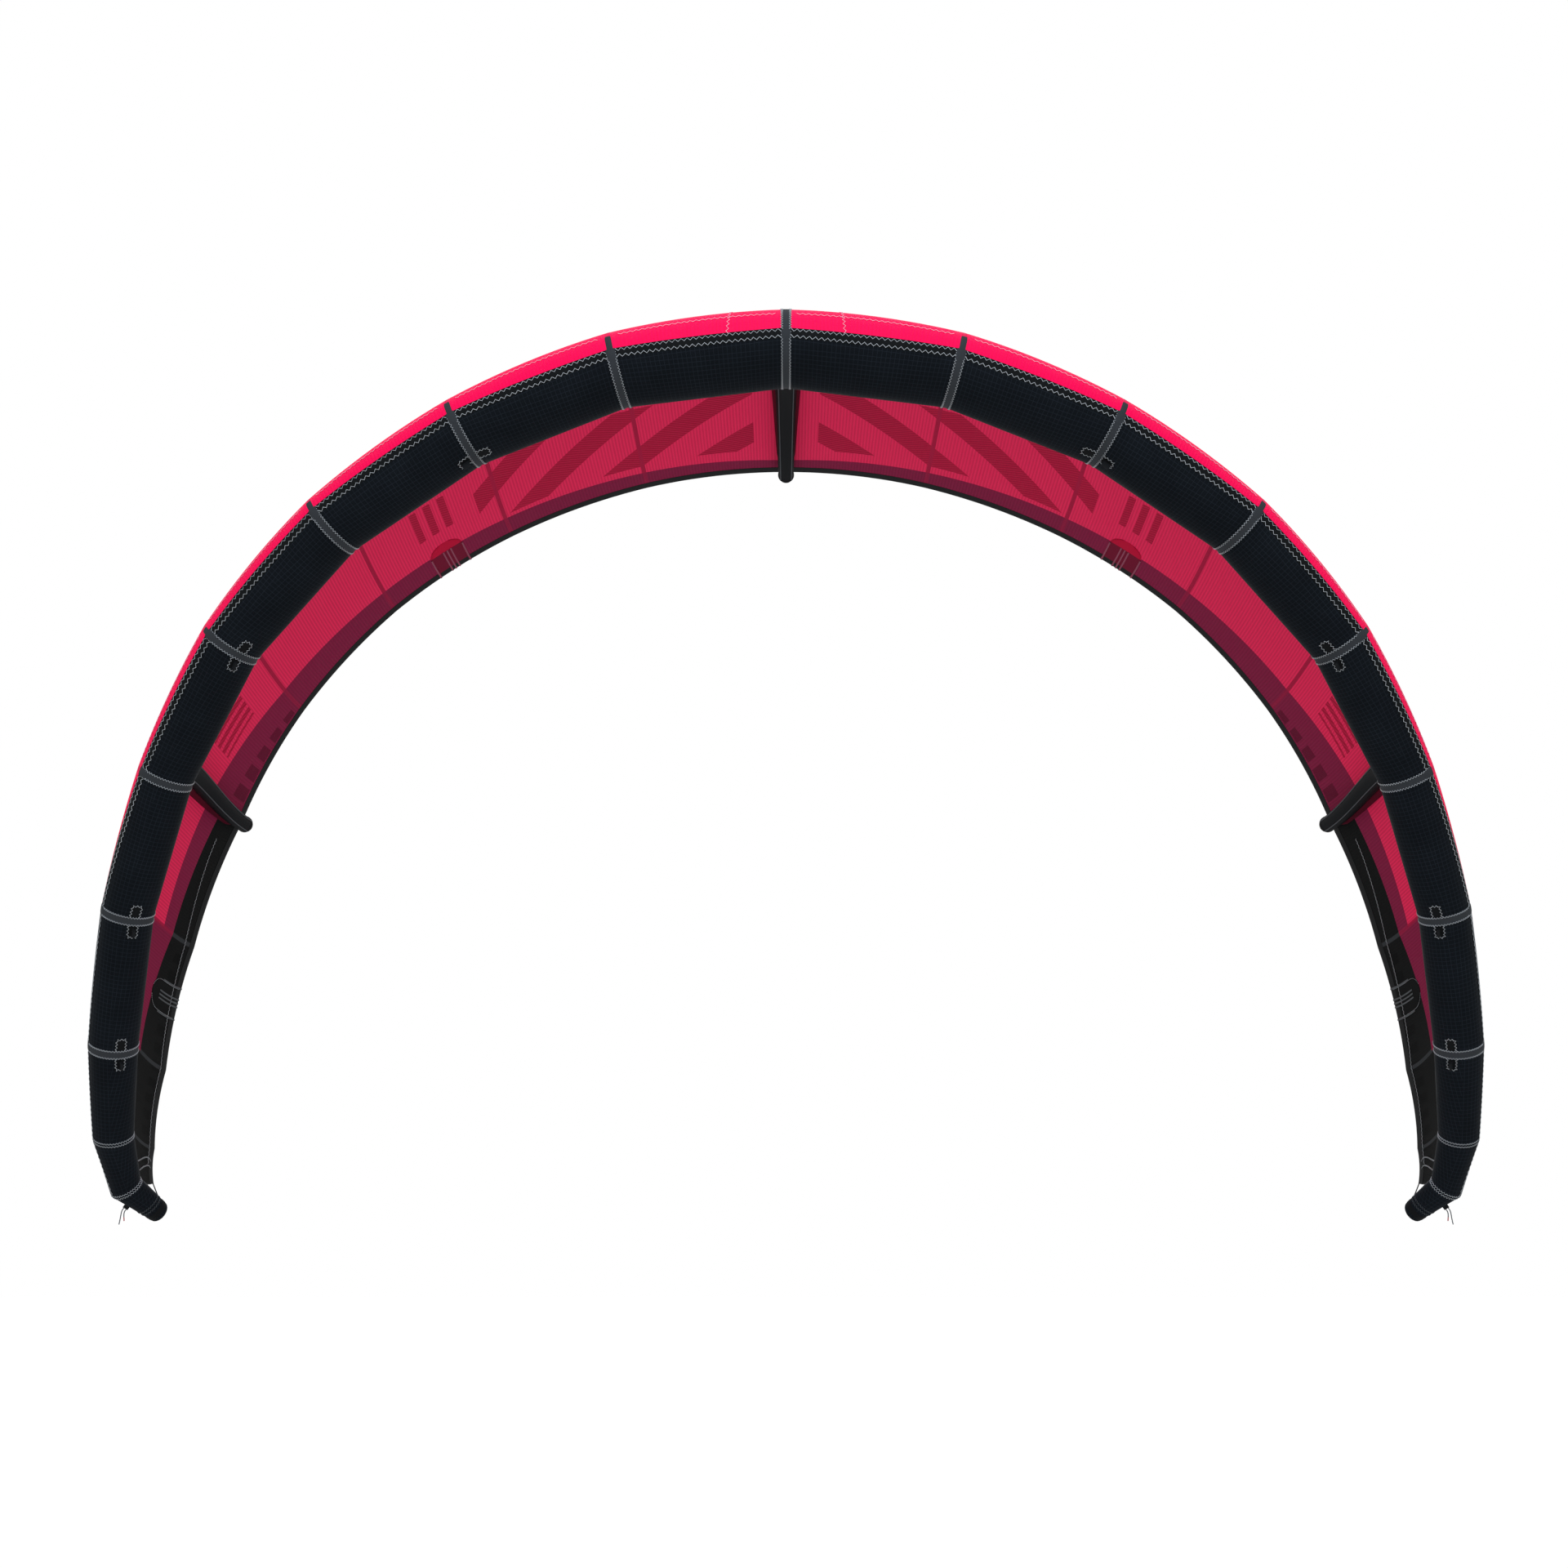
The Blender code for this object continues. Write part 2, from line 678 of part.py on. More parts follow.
def strut_bladder(label):
    """The film tube in a strut: closed at the tail, open at its neck for the hose."""
    number = STRUT_SEAMS[label]
    side = strut_side(label)
    path = strut_path(number)
    front = first_clear_station(path, SEAMS[number])
    tail = cut_station(path, CAP_LENGTH + CAP_SPIGOT + CLEARANCE * 2)
    stations = [front] + [station for station in path[:-1] if is_between(station, front, tail)] + [tail]
    neck = BLADDER_NECK_RADIUS
    tip = (front[0] - front[1] * neck, front[1], front[2], neck)
    last = (tail[0] - tail[1] * BLADDER_WALL, tail[1], tail[2], tail[3])
    outer = [strut_ring(tip, 0.0, BLADDER_SIDES, side)]
    outer += [bladder_ring(station, 0.0, side) for station in stations]
    inner = [bladder_ring(station, BLADDER_WALL, side) for station in [last] + stations[-2::-1]]
    inner += [strut_ring(tip, -BLADDER_WALL, BLADDER_SIDES, side)]
    name = f"strut_bladder_{label}"
    return add_object(name, bag(name, outer, inner), CLEAR_BLADDER)


def bag(name, outer, inner):
    """A film bag: outer rings to the closed tail, then inner rings back to the open neck."""
    shape = bmesh.new()
    rows = [[shape.verts.new(point) for point in ring] for ring in outer + inner]
    tail = len(outer) - 1
    for index, (near, far) in enumerate(zip(rows, rows[1:] + rows[:1])):
        if index == tail:
            shape.faces.new(near)
            shape.faces.new(far)
            continue
        for k in range(len(near)):
            following = (k + 1) % len(near)
            shape.faces.new((near[k], near[following], far[following], far[k]))
    return mesh_from_bmesh(name, shape)


def is_between(station, front, tail):
    """Whether a station lies between two others along a strut."""
    past_front = (station[0] - front[0]).dot(front[1]) > front[3] * BLADDER_END_SHARE
    before_tail = (tail[0] - station[0]).dot(tail[1]) > tail[3] * BLADDER_END_SHARE
    return past_front and before_tail


def first_clear_station(path, seam):
    """Where a strut bladder starts: its front ring just clear of the leading edge."""
    for near, far in zip(path, path[1:]):
        distance = (far[0] - seam.point).dot(seam.back)
        if distance > seam.radius + far[3]:
            start = (near[0] - seam.point).dot(seam.back)
            share = (seam.radius + far[3] - start) / (distance - start)
            return (blend(near[0], far[0], share), far[1], far[2], blend(near[3], far[3], share))
    return path[0]


def bladder_half(inset, side):
    """Rings of one half of the leading-edge bladder, from the centre to its end."""
    rings = []
    for seam in SEAMS:
        skin = -bladder_room(seam.radius, LE_SIDES) - inset
        ring = seam.ring(skin, BLADDER_SIDES)
        if seam.number == TIP_SEAM:
            back_off = segment_length(ELBOW_SEAM) * BLADDER_END_SHARE + inset
            ring = [point - seam.tangent * back_off for point in ring]
        rings.append(mirrored(ring, side))
    return rings


def leading_edge_bladder():
    """One film tube through the whole leading edge, open at the valve."""
    outer = bladder_half(0.0, "left")[::-1] + bladder_half(0.0, "right")[1:]
    inner = bladder_half(BLADDER_WALL, "left")[::-1] + bladder_half(BLADDER_WALL, "right")[1:]
    shape = bmesh.new()
    for rings in (outer, inner):
        rows = [[shape.verts.new(point) for point in ring] for ring in rings]
        for near, far in zip(rows, rows[1:]):
            for k in range(len(near)):
                following = (k + 1) % len(near)
                corners = [near[k], near[following], far[following], far[k]]
                if rings is outer:
                    corners.reverse()
                shape.faces.new(corners)
        shape.faces.new(rows[0] if rings is outer else rows[0][::-1])
        shape.faces.new(rows[-1][::-1] if rings is outer else rows[-1])
    mesh = mesh_from_bmesh("leading_edge_bladder", shape, outward=False)
    bladder = add_object("leading_edge_bladder", mesh, CLEAR_BLADDER)
    apply_boolean(bladder, valve_hole("bladder_port"), "DIFFERENCE")
    return bladder


VALVE_FRAME = tube_frame(0, VALVE_SEGMENT_SHARE, facet_angle(VALVE_FACET), "right")


def valve_hole(name):
    """The hole that the valve's neck passes through."""
    depth = VALVE_PAD_TOP + VALVE_NECK_DEPTH + CUT_OVERRUN * 2
    centre = (0, 0, VALVE_PAD_TOP + CUT_OVERRUN - depth / 2)
    mesh = cylinder_mesh(name, VALVE_NECK_RADIUS + CLEARANCE, depth, TURN_STEPS, centre)
    hole = add_object(name, mesh, BLACK_CASING, CUTTERS)
    hole.matrix_world = VALVE_FRAME
    return hole


def turned(name, profile, material, collection=KITE):
    """A ring turned about Z from a closed profile of (radius, height) points."""
    shape = bmesh.new()
    corners = [shape.verts.new((radius, 0, height)) for radius, height in profile]
    for k in range(len(corners)):
        shape.edges.new((corners[k - 1], corners[k]))
    mesh = bpy.data.meshes.new(name)
    shape.to_mesh(mesh)
    shape.free()
    ring = add_object(name, mesh, material, collection)
    screw = ring.modifiers.new("turn", "SCREW")
    screw.axis = "Z"
    screw.steps = TURN_STEPS
    screw.render_steps = TURN_STEPS
    screw.use_merge_vertices = True
    screw.merge_threshold = CLEARANCE / 10
    screw.use_normal_calculate = True
    return ring


def valve_base():
    """A pad with a stepped seat, a saddle underside and a neck into the bladder."""
    step = VALVE_PAD_TOP - VALVE_STEP_DEPTH
    pad = turned("valve_base", ((VALVE_BORE_RADIUS, step), (VALVE_STEP_RADIUS, step),
                                (VALVE_STEP_RADIUS, VALVE_PAD_TOP),
                                (VALVE_PAD_RADIUS - VALVE_PAD_TOP / 2, VALVE_PAD_TOP),
                                (VALVE_PAD_RADIUS, VALVE_PAD_TOP / 2),
                                (VALVE_PAD_RADIUS, -VALVE_PAD_DEPTH),
                                (VALVE_BORE_RADIUS, -VALVE_PAD_DEPTH)), VALVE_GREY)
    pad.matrix_world = VALVE_FRAME
    saddle = le_solid("valve_saddle", 0, 1, CLEARANCE, "right")
    neck = turned("valve_neck", ((VALVE_BORE_RADIUS, step), (VALVE_NECK_RADIUS, step),
                                 (VALVE_NECK_RADIUS, -VALVE_NECK_DEPTH),
                                 (VALVE_BORE_RADIUS, -VALVE_NECK_DEPTH)), VALVE_GREY, CUTTERS)
    neck.matrix_world = VALVE_FRAME
    apply_boolean(pad, saddle, "DIFFERENCE")
    apply_boolean(pad, neck, "UNION")
    return pad


def valve_insert():
    """The screw-in insert: a stem in the base's bore under a notched head."""
    foot = -VALVE_NECK_DEPTH
    seat = VALVE_PAD_TOP - VALVE_STEP_DEPTH + CLEARANCE
    top = seat + INSERT_HEAD_HEIGHT
    stem = VALVE_BORE_RADIUS - CLEARANCE
    insert = turned("valve_insert", ((INSERT_BORE_RADIUS, top), (INSERT_HEAD_RADIUS, top),
                                     (INSERT_HEAD_RADIUS, seat), (stem, seat), (stem, foot),
                                     (INSERT_BORE_RADIUS, foot)), VALVE_GREY)
    insert.matrix_world = VALVE_FRAME
    shape = bmesh.new()
    for k in range(GRIP_NOTCHES):
        angle = math.tau * (k + 0.5) / GRIP_NOTCHES
        spot = Vector((math.cos(angle), math.sin(angle), 0)) * INSERT_HEAD_RADIUS
        spot.z = seat + INSERT_HEAD_HEIGHT / 2
        bmesh.ops.create_cone(shape, cap_ends=True, segments=8, radius1=GRIP_NOTCH_RADIUS,
                              radius2=GRIP_NOTCH_RADIUS, depth=INSERT_HEAD_HEIGHT + CUT_OVERRUN,
                              matrix=Matrix.Translation(spot))
    notches = add_object("grip_notches", mesh_from_bmesh("grip_notches", shape), VALVE_GREY, CUTTERS)
    notches.matrix_world = VALVE_FRAME
    apply_boolean(insert, notches, "DIFFERENCE")
    return insert


def valve_cap():
    """The pull-out cap: a plug in the insert's bore, a disc and a finger tab."""
    seat = VALVE_PAD_TOP - VALVE_STEP_DEPTH + INSERT_HEAD_HEIGHT + CLEARANCE * 2
    top = seat + CAP_DISC_HEIGHT
    plug = INSERT_BORE_RADIUS - CLEARANCE
    inner = plug - CAP_PLUG_WALL
    cap = turned("valve_cap", ((0, top), (CAP_DISC_RADIUS, top), (CAP_DISC_RADIUS, seat), (plug, seat),
                               (plug, seat - CAP_PLUG_DEPTH), (inner, seat - CAP_PLUG_DEPTH),
                               (inner, seat), (0, seat)), VALVE_GREY)
    cap.matrix_world = VALVE_FRAME
    tab = box_mesh("cap_tab", (CAP_TAB_LENGTH + CAP_DISC_RADIUS / 2, CAP_TAB_WIDTH, CAP_DISC_HEIGHT),
                   (CAP_DISC_RADIUS * 0.75 + CAP_TAB_LENGTH / 2, 0, seat + CAP_DISC_HEIGHT / 2))
    tab = add_object("cap_tab", tab, VALVE_GREY, CUTTERS)
    tab.matrix_world = VALVE_FRAME
    apply_boolean(cap, tab, "UNION")
    return cap


class HoseRoute:
    """A one-pump hose: out of the leading edge beside a strut and into the strut's side."""

    def __init__(self, label):
        self.side = strut_side(label)
        number = STRUT_SEAMS[label]
        seam = SEAMS[number]
        segment = number if number == 0 else number - 1
        offset = HOSE_SPAN_OFFSET / segment_length(segment)
        share = offset if number == 0 else 1 - offset
        away = CLEARANCE * 2 - facet_depth(seam.radius, LE_SIDES)
        frame = tube_frame(segment, share, facet_angle(HOSE_FACET), "right", away)
        start = frame.translation.copy()
        start_direction = frame.col[2].to_3d()
        path = strut_path(number)
        centre, run, down, radius = self.strut_station(path, seam)
        sideways = seam.tangent if number == 0 else -seam.tangent
        sideways = (sideways - run * sideways.dot(run)).normalized()
        end = centre + sideways * (radius - facet_depth(radius, STRUT_SIDES) + CLEARANCE * 2)
        reach = (end - start).length * FRONT_HANDLE_SHARE
        self.handles = (start, start + start_direction * reach, end + sideways * reach, end)
        self.down = -seam.up

    def strut_station(self, path, seam):
        """The strut's section where the hose goes in."""
        target = seam.radius + HOSE_STRUT_REACH
        for near, far in zip(path, path[1:]):
            a = (near[0] - seam.point).dot(seam.back)
            b = (far[0] - seam.point).dot(seam.back)
            if b > target:
                share = (target - a) / (b - a)
                return (blend(near[0], far[0], share), far[1], far[2], blend(near[3], far[3], share))
        return path[-1]

    def point(self, t):
        """A point on the route."""
        a, b, c, d = self.handles
        return a * (1 - t) ** 3 + b * 3 * t * (1 - t) ** 2 + c * 3 * t ** 2 * (1 - t) + d * t ** 3

    def direction(self, t):
        """The route's direction."""
        a, b, c, d = self.handles
        slope = (b - a) * 3 * (1 - t) ** 2 + (c - b) * 6 * t * (1 - t) + (d - c) * 3 * t ** 2
        return slope.normalized()

    def ring(self, t):
        """The hose's section, flattened where the clip pinches it."""
        run = self.direction(t)
        rise = (self.down * -1 + run * self.down.dot(run)).normalized()
        across = run.cross(rise)
        squeeze = max(0.0, 1 - abs(t - 0.5) / HOSE_PINCH_SHARE)
        squeeze = min(1.0, squeeze * 2)
        height = blend(HOSE_RADIUS, HOSE_PINCH_HEIGHT, squeeze)
        width = blend(HOSE_RADIUS, HOSE_PINCH_WIDTH, squeeze)
        ring = []
        for k in range(HOSE_SIDES):
            angle = math.tau * k / HOSE_SIDES
            ring.append(self.point(t) + across * width * math.cos(angle) + rise * height * math.sin(angle))
        return mirrored(ring, self.side)

    def clip_frame(self):
        """The frame of the pinch clip: X along the hose, Z down to the open air."""
        run = self.direction(0.5)
        drop = (self.down - run * self.down.dot(run)).normalized()
        spot, run, drop = mirrored((self.point(0.5), run, drop), self.side)
        frame = Matrix((run, drop.cross(run), drop)).transposed().to_4x4()
        frame.translation = spot
        return frame


def one_pump_hose(label):
    """A smooth hose, pinched flat in the middle by its clip."""
    route = HoseRoute(label)
    rings = [route.ring(k / HOSE_STEPS) for k in range(HOSE_STEPS + 1)]
    name = f"one_pump_hose_{label}"
    return add_object(name, loft(name, rings), HOSE_GREY)


CLIP_INNER_HALF = HOSE_PINCH_WIDTH + CLIP_GAP
CLIP_OUTER_HALF = CLIP_INNER_HALF + CLIP_WALL
CLIP_FLOOR = -HOSE_PINCH_HEIGHT - BEND_ROOM
CLIP_RIM = HOSE_PINCH_HEIGHT + BEND_ROOM
HINGE_Y = CLIP_OUTER_HALF + BARREL_RADIUS
HINGE_Z = CLIP_RIM - BARREL_RADIUS * HINGE_DEPTH_SHARE
ALONG_X = Matrix.Rotation(math.pi / 2, 4, "Y")


def extruded(name, outline, width, collection=CUTTERS):
    """A bar along X from an outline of (y, z) points."""
    shape = bmesh.new()
    face = shape.faces.new([shape.verts.new((-width / 2, y, z)) for y, z in outline])
    moved = bmesh.ops.extrude_face_region(shape, geom=[face])["geom"]
    corners = [item for item in moved if isinstance(item, bmesh.types.BMVert)]
    bmesh.ops.translate(shape, vec=(width, 0, 0), verts=corners)
    return add_object(name, mesh_from_bmesh(name, shape), CLIP_RED, collection)


def clip_outline():
    """The channel's section, with the hinge barrel on one wall."""
    start = math.radians(-90)
    end = math.pi - math.asin(HINGE_DEPTH_SHARE)
    outline = [(-CLIP_OUTER_HALF, CLIP_FLOOR - CLIP_WALL), (CLIP_OUTER_HALF, CLIP_FLOOR - CLIP_WALL),
               (CLIP_OUTER_HALF, HINGE_Z - BARREL_RADIUS)]
    for k in range(BARREL_STEPS + 1):
        angle = start + (end - start) * k / BARREL_STEPS
        outline.append((HINGE_Y + BARREL_RADIUS * math.cos(angle), HINGE_Z + BARREL_RADIUS * math.sin(angle)))
    outline += [(CLIP_INNER_HALF, CLIP_RIM), (CLIP_INNER_HALF, CLIP_FLOOR), (-CLIP_INNER_HALF, CLIP_FLOOR),
                (-CLIP_INNER_HALF, CLIP_RIM), (-CLIP_OUTER_HALF, CLIP_RIM)]
    return outline


def clip_base_mesh():
    """A channel round the pinched hose, with two knuckles and the hinge pin."""
    body = extruded("clip_body", clip_outline(), CLIP_LENGTH)
    recess_side = CLIP_OUTER_HALF - CLEARANCE
    recess_bottom = HINGE_Z - BARREL_RADIUS - CLEARANCE
    reach = BARREL_RADIUS * 2 + CUT_OVERRUN
    recess = box_mesh("clip_recess", (CLIP_LENGTH - KNUCKLE_LENGTH * 2, reach, reach),
                      (0, recess_side + reach / 2, recess_bottom + reach / 2))
    apply_boolean(body, add_object("clip_recess", recess, CLIP_RED, CUTTERS), "DIFFERENCE")
    pin = cylinder_mesh("clip_pin", PIN_RADIUS, CLIP_LENGTH - KNUCKLE_LENGTH, BARREL_STEPS,
                        (0, HINGE_Y, HINGE_Z), ALONG_X)
    apply_boolean(body, add_object("clip_pin", pin, CLIP_RED, CUTTERS), "UNION")
    return evaluated_mesh(body, "pinch_clip_base")


def clip_lever_mesh():
    """The bar that presses the hose flat: a barrel on the pin, and a finger tab."""
    plate_reach = HINGE_Y + CLIP_OUTER_HALF + LEVER_TAB
    barrel_length = CLIP_LENGTH - KNUCKLE_LENGTH * 2 - CLEARANCE * 2
    bottom = CLIP_RIM + CLEARANCE - HINGE_Z
    plate = box_mesh("lever_plate", (barrel_length - CLEARANCE * 2, plate_reach, LEVER_THICKNESS),
                     (0, -plate_reach / 2, bottom + LEVER_THICKNESS / 2))
    plate = add_object("lever_plate", plate, CLIP_RED, CUTTERS)
    barrel = cylinder_mesh("lever_barrel", BARREL_RADIUS, barrel_length, BARREL_STEPS + 2, (0, 0, 0), ALONG_X)
    apply_boolean(plate, add_object("lever_barrel", barrel, CLIP_RED, CUTTERS), "UNION")
    bore = cylinder_mesh("lever_bore", PIN_RADIUS + CLEARANCE, CLIP_LENGTH, BARREL_STEPS, (0, 0, 0), ALONG_X)
    apply_boolean(plate, add_object("lever_bore", bore, CLIP_RED, CUTTERS), "DIFFERENCE")
    return evaluated_mesh(plate, "pinch_clip_lever")


def evaluated_mesh(thing, name):
    """The finished mesh of a hidden object."""
    bpy.context.view_layer.update()
    graph = bpy.context.evaluated_depsgraph_get()
    mesh = bpy.data.meshes.new_from_object(thing.evaluated_get(graph))
    mesh.name = name
    return mesh


def pinch_clips():
    """One clip on each hose, its lever turning about an empty on the hinge."""
    base_mesh = clip_base_mesh()
    lever_mesh = clip_lever_mesh()
    for label in STRUT_SEAMS:
        frame = HoseRoute(label).clip_frame()
        base = add_object(f"pinch_clip_base_{label}", base_mesh, CLIP_RED)
        base.matrix_world = frame
        hinge = bpy.data.objects.new(f"clip_hinge_{label}", None)
        KITE.objects.link(hinge)
        hinge.matrix_world = frame @ Matrix.Translation((0, HINGE_Y, HINGE_Z))
        lever = add_object(f"pinch_clip_lever_{label}", lever_mesh, CLIP_RED)
        lever.parent = hinge


def tip_tab_frame(side):
    """Where the pigtails' loop is sewn: outside the wing tip, just past the elbow."""
    return tube_frame(ELBOW_SEAM, TIP_TAB_SHARE, TIP_TAB_ANGLE, side)


def add_tip_tab(tip, side):
    """Sew the pigtails' webbing loop on the wing tip."""
    height = TIP_TAB_HEIGHT + facet_depth(SEAMS[ELBOW_SEAM].radius, LE_SIDES) + CASING_WALL / 2
    tab = box_mesh(tip.name + "_tab", (TIP_TAB_LENGTH, TIP_TAB_THICKNESS, height),
                   (0, 0, TIP_TAB_HEIGHT - height / 2))
    tab = add_object(tip.name + "_tab", tab, BLACK_CASING, CUTTERS)
    tab.matrix_world = tip_tab_frame(side)
    apply_boolean(tip, tab, "UNION")


def pigtail(name, route, place, side):
    """A short cord hanging from the tip's tab; place is -1 or 1 along the tab."""
    spot = Vector((place * TIP_TAB_LENGTH / 4, 0, TIP_TAB_HEIGHT + CLEARANCE))
    start = tip_tab_frame("right") @ spot
    curve = bpy.data.curves.new(name, "CURVE")
    curve.dimensions = "3D"
    curve.bevel_depth = PIGTAIL_DIAMETER / 2
    curve.bevel_resolution = 2
    curve.use_fill_caps = True
    spline = curve.splines.new("POLY")
    spline.points.add(len(route) - 1)
    for point, step in zip(spline.points, route):
        point.co = (*mirrored([start + Vector(step)], side)[0], 1)
    cord = bpy.data.objects.new(name, curve)
    KITE.objects.link(cord)
    curve.materials.append(GREY_WEBBING)
    return cord


def build():
    """Make every piece of the kite."""
    for side in SIDES:
        for number in range(ELBOW_START):
            casing = leading_edge_segment(number, side)
            if number in TAB_SEAMS:
                add_tab(casing, number, side)
            if number == 0 and side == "right":
                apply_boolean(casing, valve_hole("casing_hole"), "DIFFERENCE")
        tip = wing_tip_elbow(side)
        add_tip_tab(tip, side)
        for index in range(len(PANEL_SEAMS)):
            canopy_panel(index, side)
        trailing_edge_hem(side)
        pigtail(f"pigtail_long_{side}", PIGTAIL_LONG_ROUTE, -1, side)
        pigtail(f"pigtail_short_{side}", PIGTAIL_SHORT_ROUTE, 1, side)
    for label in STRUT_SEAMS:
        strut(label)
        strut_end_cap(label)
        strut_bladder(label)
        one_pump_hose(label)
    leading_edge_bladder()
    valve_base()
    valve_insert()
    valve_cap()
    pinch_clips()


build()
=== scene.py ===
"""Looks of a three-strut inflatable kite for kitesurfing, in its flying shape.

Metres, +Z up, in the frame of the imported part: the origin is on the axis of the leading-edge
tube at its centre seam, +Y runs back along the centre strut and +X along the span. A station
counts the seams of the leading edge outwards from the centre, 0 to 10, and is negative on the
left half. Round the tube, 0 degrees is straight ahead and 90 is the top.
"""
import functools
import math

import bmesh
import bpy
from mathutils import Matrix, Vector


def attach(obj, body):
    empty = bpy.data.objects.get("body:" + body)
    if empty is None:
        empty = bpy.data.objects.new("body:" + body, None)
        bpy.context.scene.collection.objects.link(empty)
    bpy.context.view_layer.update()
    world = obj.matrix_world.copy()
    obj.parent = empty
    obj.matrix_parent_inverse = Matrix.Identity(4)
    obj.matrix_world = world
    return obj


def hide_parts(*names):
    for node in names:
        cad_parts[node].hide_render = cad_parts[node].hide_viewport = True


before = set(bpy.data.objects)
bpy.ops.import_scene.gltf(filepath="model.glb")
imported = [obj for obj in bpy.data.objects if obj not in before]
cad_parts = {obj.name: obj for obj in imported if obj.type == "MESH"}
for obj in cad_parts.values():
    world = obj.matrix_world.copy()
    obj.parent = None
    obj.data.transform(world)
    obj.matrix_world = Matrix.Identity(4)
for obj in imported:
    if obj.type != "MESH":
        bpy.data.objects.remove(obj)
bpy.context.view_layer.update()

BODY = "kite"
SIDES = {"right": 1, "left": -1}

# Leading-edge tube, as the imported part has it
CENTRE_SEGMENT_LENGTH = 0.456
LE_DIAMETER = 0.206
SEGMENT_LENGTH_SHARES = (1.0, 0.975, 0.97, 0.945, 0.92, 0.905, 0.88, 0.63, 0.38, 0.27)
LE_DIAMETER_SHARES = (1.0, 0.98, 0.94, 0.88, 0.81, 0.74, 0.70, 0.67, 0.56, 0.46, 0.31)
SEGMENT_DROP_DEGREES = (7, 21, 33, 47, 61, 71, 80, 85, 98, 139)
SEGMENT_SWEEP_DEGREES = (1.5, 6, 10.5, 13.5, 16.5, 20, 22, 27, 31, 29)
TIP_SEAM = len(SEGMENT_DROP_DEGREES)
ELBOW_SEAM = TIP_SEAM - 1
TAPE_THICKNESS = 0.0008
TAPE_WIDTH = 0.026
CLEARANCE = 0.0003
CAD_FACET_DEGREES = 20

# How far each inflated segment bows out between its seams, as a share of its length, and where
# round the tube: the sewn solids are straight there
SWELL_SHARES = (0.028, 0.027, 0.025, 0.026, 0.021, 0.013, 0.009, 0.005, 0.0, 0.0)
SWELL_MIDDLE = 60
SWELL_REACH = 120

# Canopy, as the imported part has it
CENTRE_CHORD = 1.50
CENTRE_PANEL_STATION = 0.335
CHORD_SHARES = (1.0, 0.992, 0.953, 0.893, 0.82, 0.733, 0.633, 0.52, 0.42, 0.34)
CHORD_TOES = (0, -0.5, 0, 0, 0, -0.4, 0.2, 1.0, 1.5, 3.5)
CHORD_RISES = (0, 0.2, 0.2, 0, -0.6, -1.0, -2.4, -4.0, -3.6, 0)
FRONT_SEAM_ANGLES = (28, 28, 30, 34, 41, 52, 66, 80, 88, 92)
CANOPY_EDGE_ANGLES = (17, 20, 26, 32, 38, 47, 75, 85, 88, 92)
LEAVE_ANGLE = 79
SHORTEST_WRAP = 12
CAD_WRAP_STEPS = 3
LIFTED_SHARE = 0.5
CANOPY_CLOTH = 0.0014
FRONT_HANDLE_SHARE = 0.42
REAR_HANDLE_SHARE = 0.36
TRAILING_SLOPE = 9
BILLOW_SHARE = 0.028

# Struts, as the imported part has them: each one's seam and side, then their sizes
STRUTS = {"centre": (0, 1), "right": (5, 1), "left": (5, -1)}
STRUT_FRONT_DIAMETER = 0.082
STRUT_REAR_DIAMETER = 0.048
STRUT_SEAT = 0.0009
STRUT_FRONT_DROP = 0.036
STRUT_DROP_END_SHARE = 0.45
CAP_LENGTH = 0.026

# How finely the surfaces are drawn
TUBE_SIDES = 72
WRAP_STEPS = 8
FREE_STEPS = 44
PANEL_ROWS = 12
STRUT_SIDES = 48
STRUT_STEPS = 60
CORD_SIDES = 10
BISECTIONS = 30
SHARP_DEGREES = 50
# How far apart two points lie that tell a surface's slope, in stations and in metres
NEAR_STATION = 0.02
NEAR_CHORD = 0.02
FRAME_STEP = 0.01
# How far a sewn edge stands off what it lies on
SEWN_EDGE = 0.0002


def blend(a, b, share):
    """The value or point a given share of the way from a to b."""
    return a + (b - a) * share


def spread(a, b, steps):
    """Values or points from a to b in even steps, both ends with them."""
    return [blend(a, b, k / steps) for k in range(steps + 1)]


def ease(share):
    """0 at 0 and below, 1 at 1 and above, with a level start and end."""
    return (1 - math.cos(max(0.0, min(1.0, share)) * math.pi)) / 2


def crown(share):
    """0 at both ends and 1 halfway."""
    return 4 * share * (1 - share)


def ring(centre, first, second, count):
    """Points round a circle or ellipse, from its centre and its two radii."""
    turns = [math.tau * k / count for k in range(count)]
    return [centre + first * math.cos(turn) + second * math.sin(turn) for turn in turns]


def bezier(start, first_handle, second_handle, end, t):
    """A point of the smooth curve between two points with handles."""
    return (start * (1 - t) ** 3 + first_handle * 3 * t * (1 - t) ** 2
            + second_handle * 3 * t ** 2 * (1 - t) + end * t ** 3)


def crossing(is_before, low, high):
    """Where between two values something stops being before a limit."""
    for _ in range(BISECTIONS):
        middle = (low + high) / 2
        if is_before(middle):
            low = middle
        else:
            high = middle
    return high


def between_seams(values, station):
    """A value kept for each seam, read between them."""
    station = min(abs(station), len(values) - 1)
    number = min(int(station), len(values) - 2)
    return blend(values[number], values[number + 1], station - number)


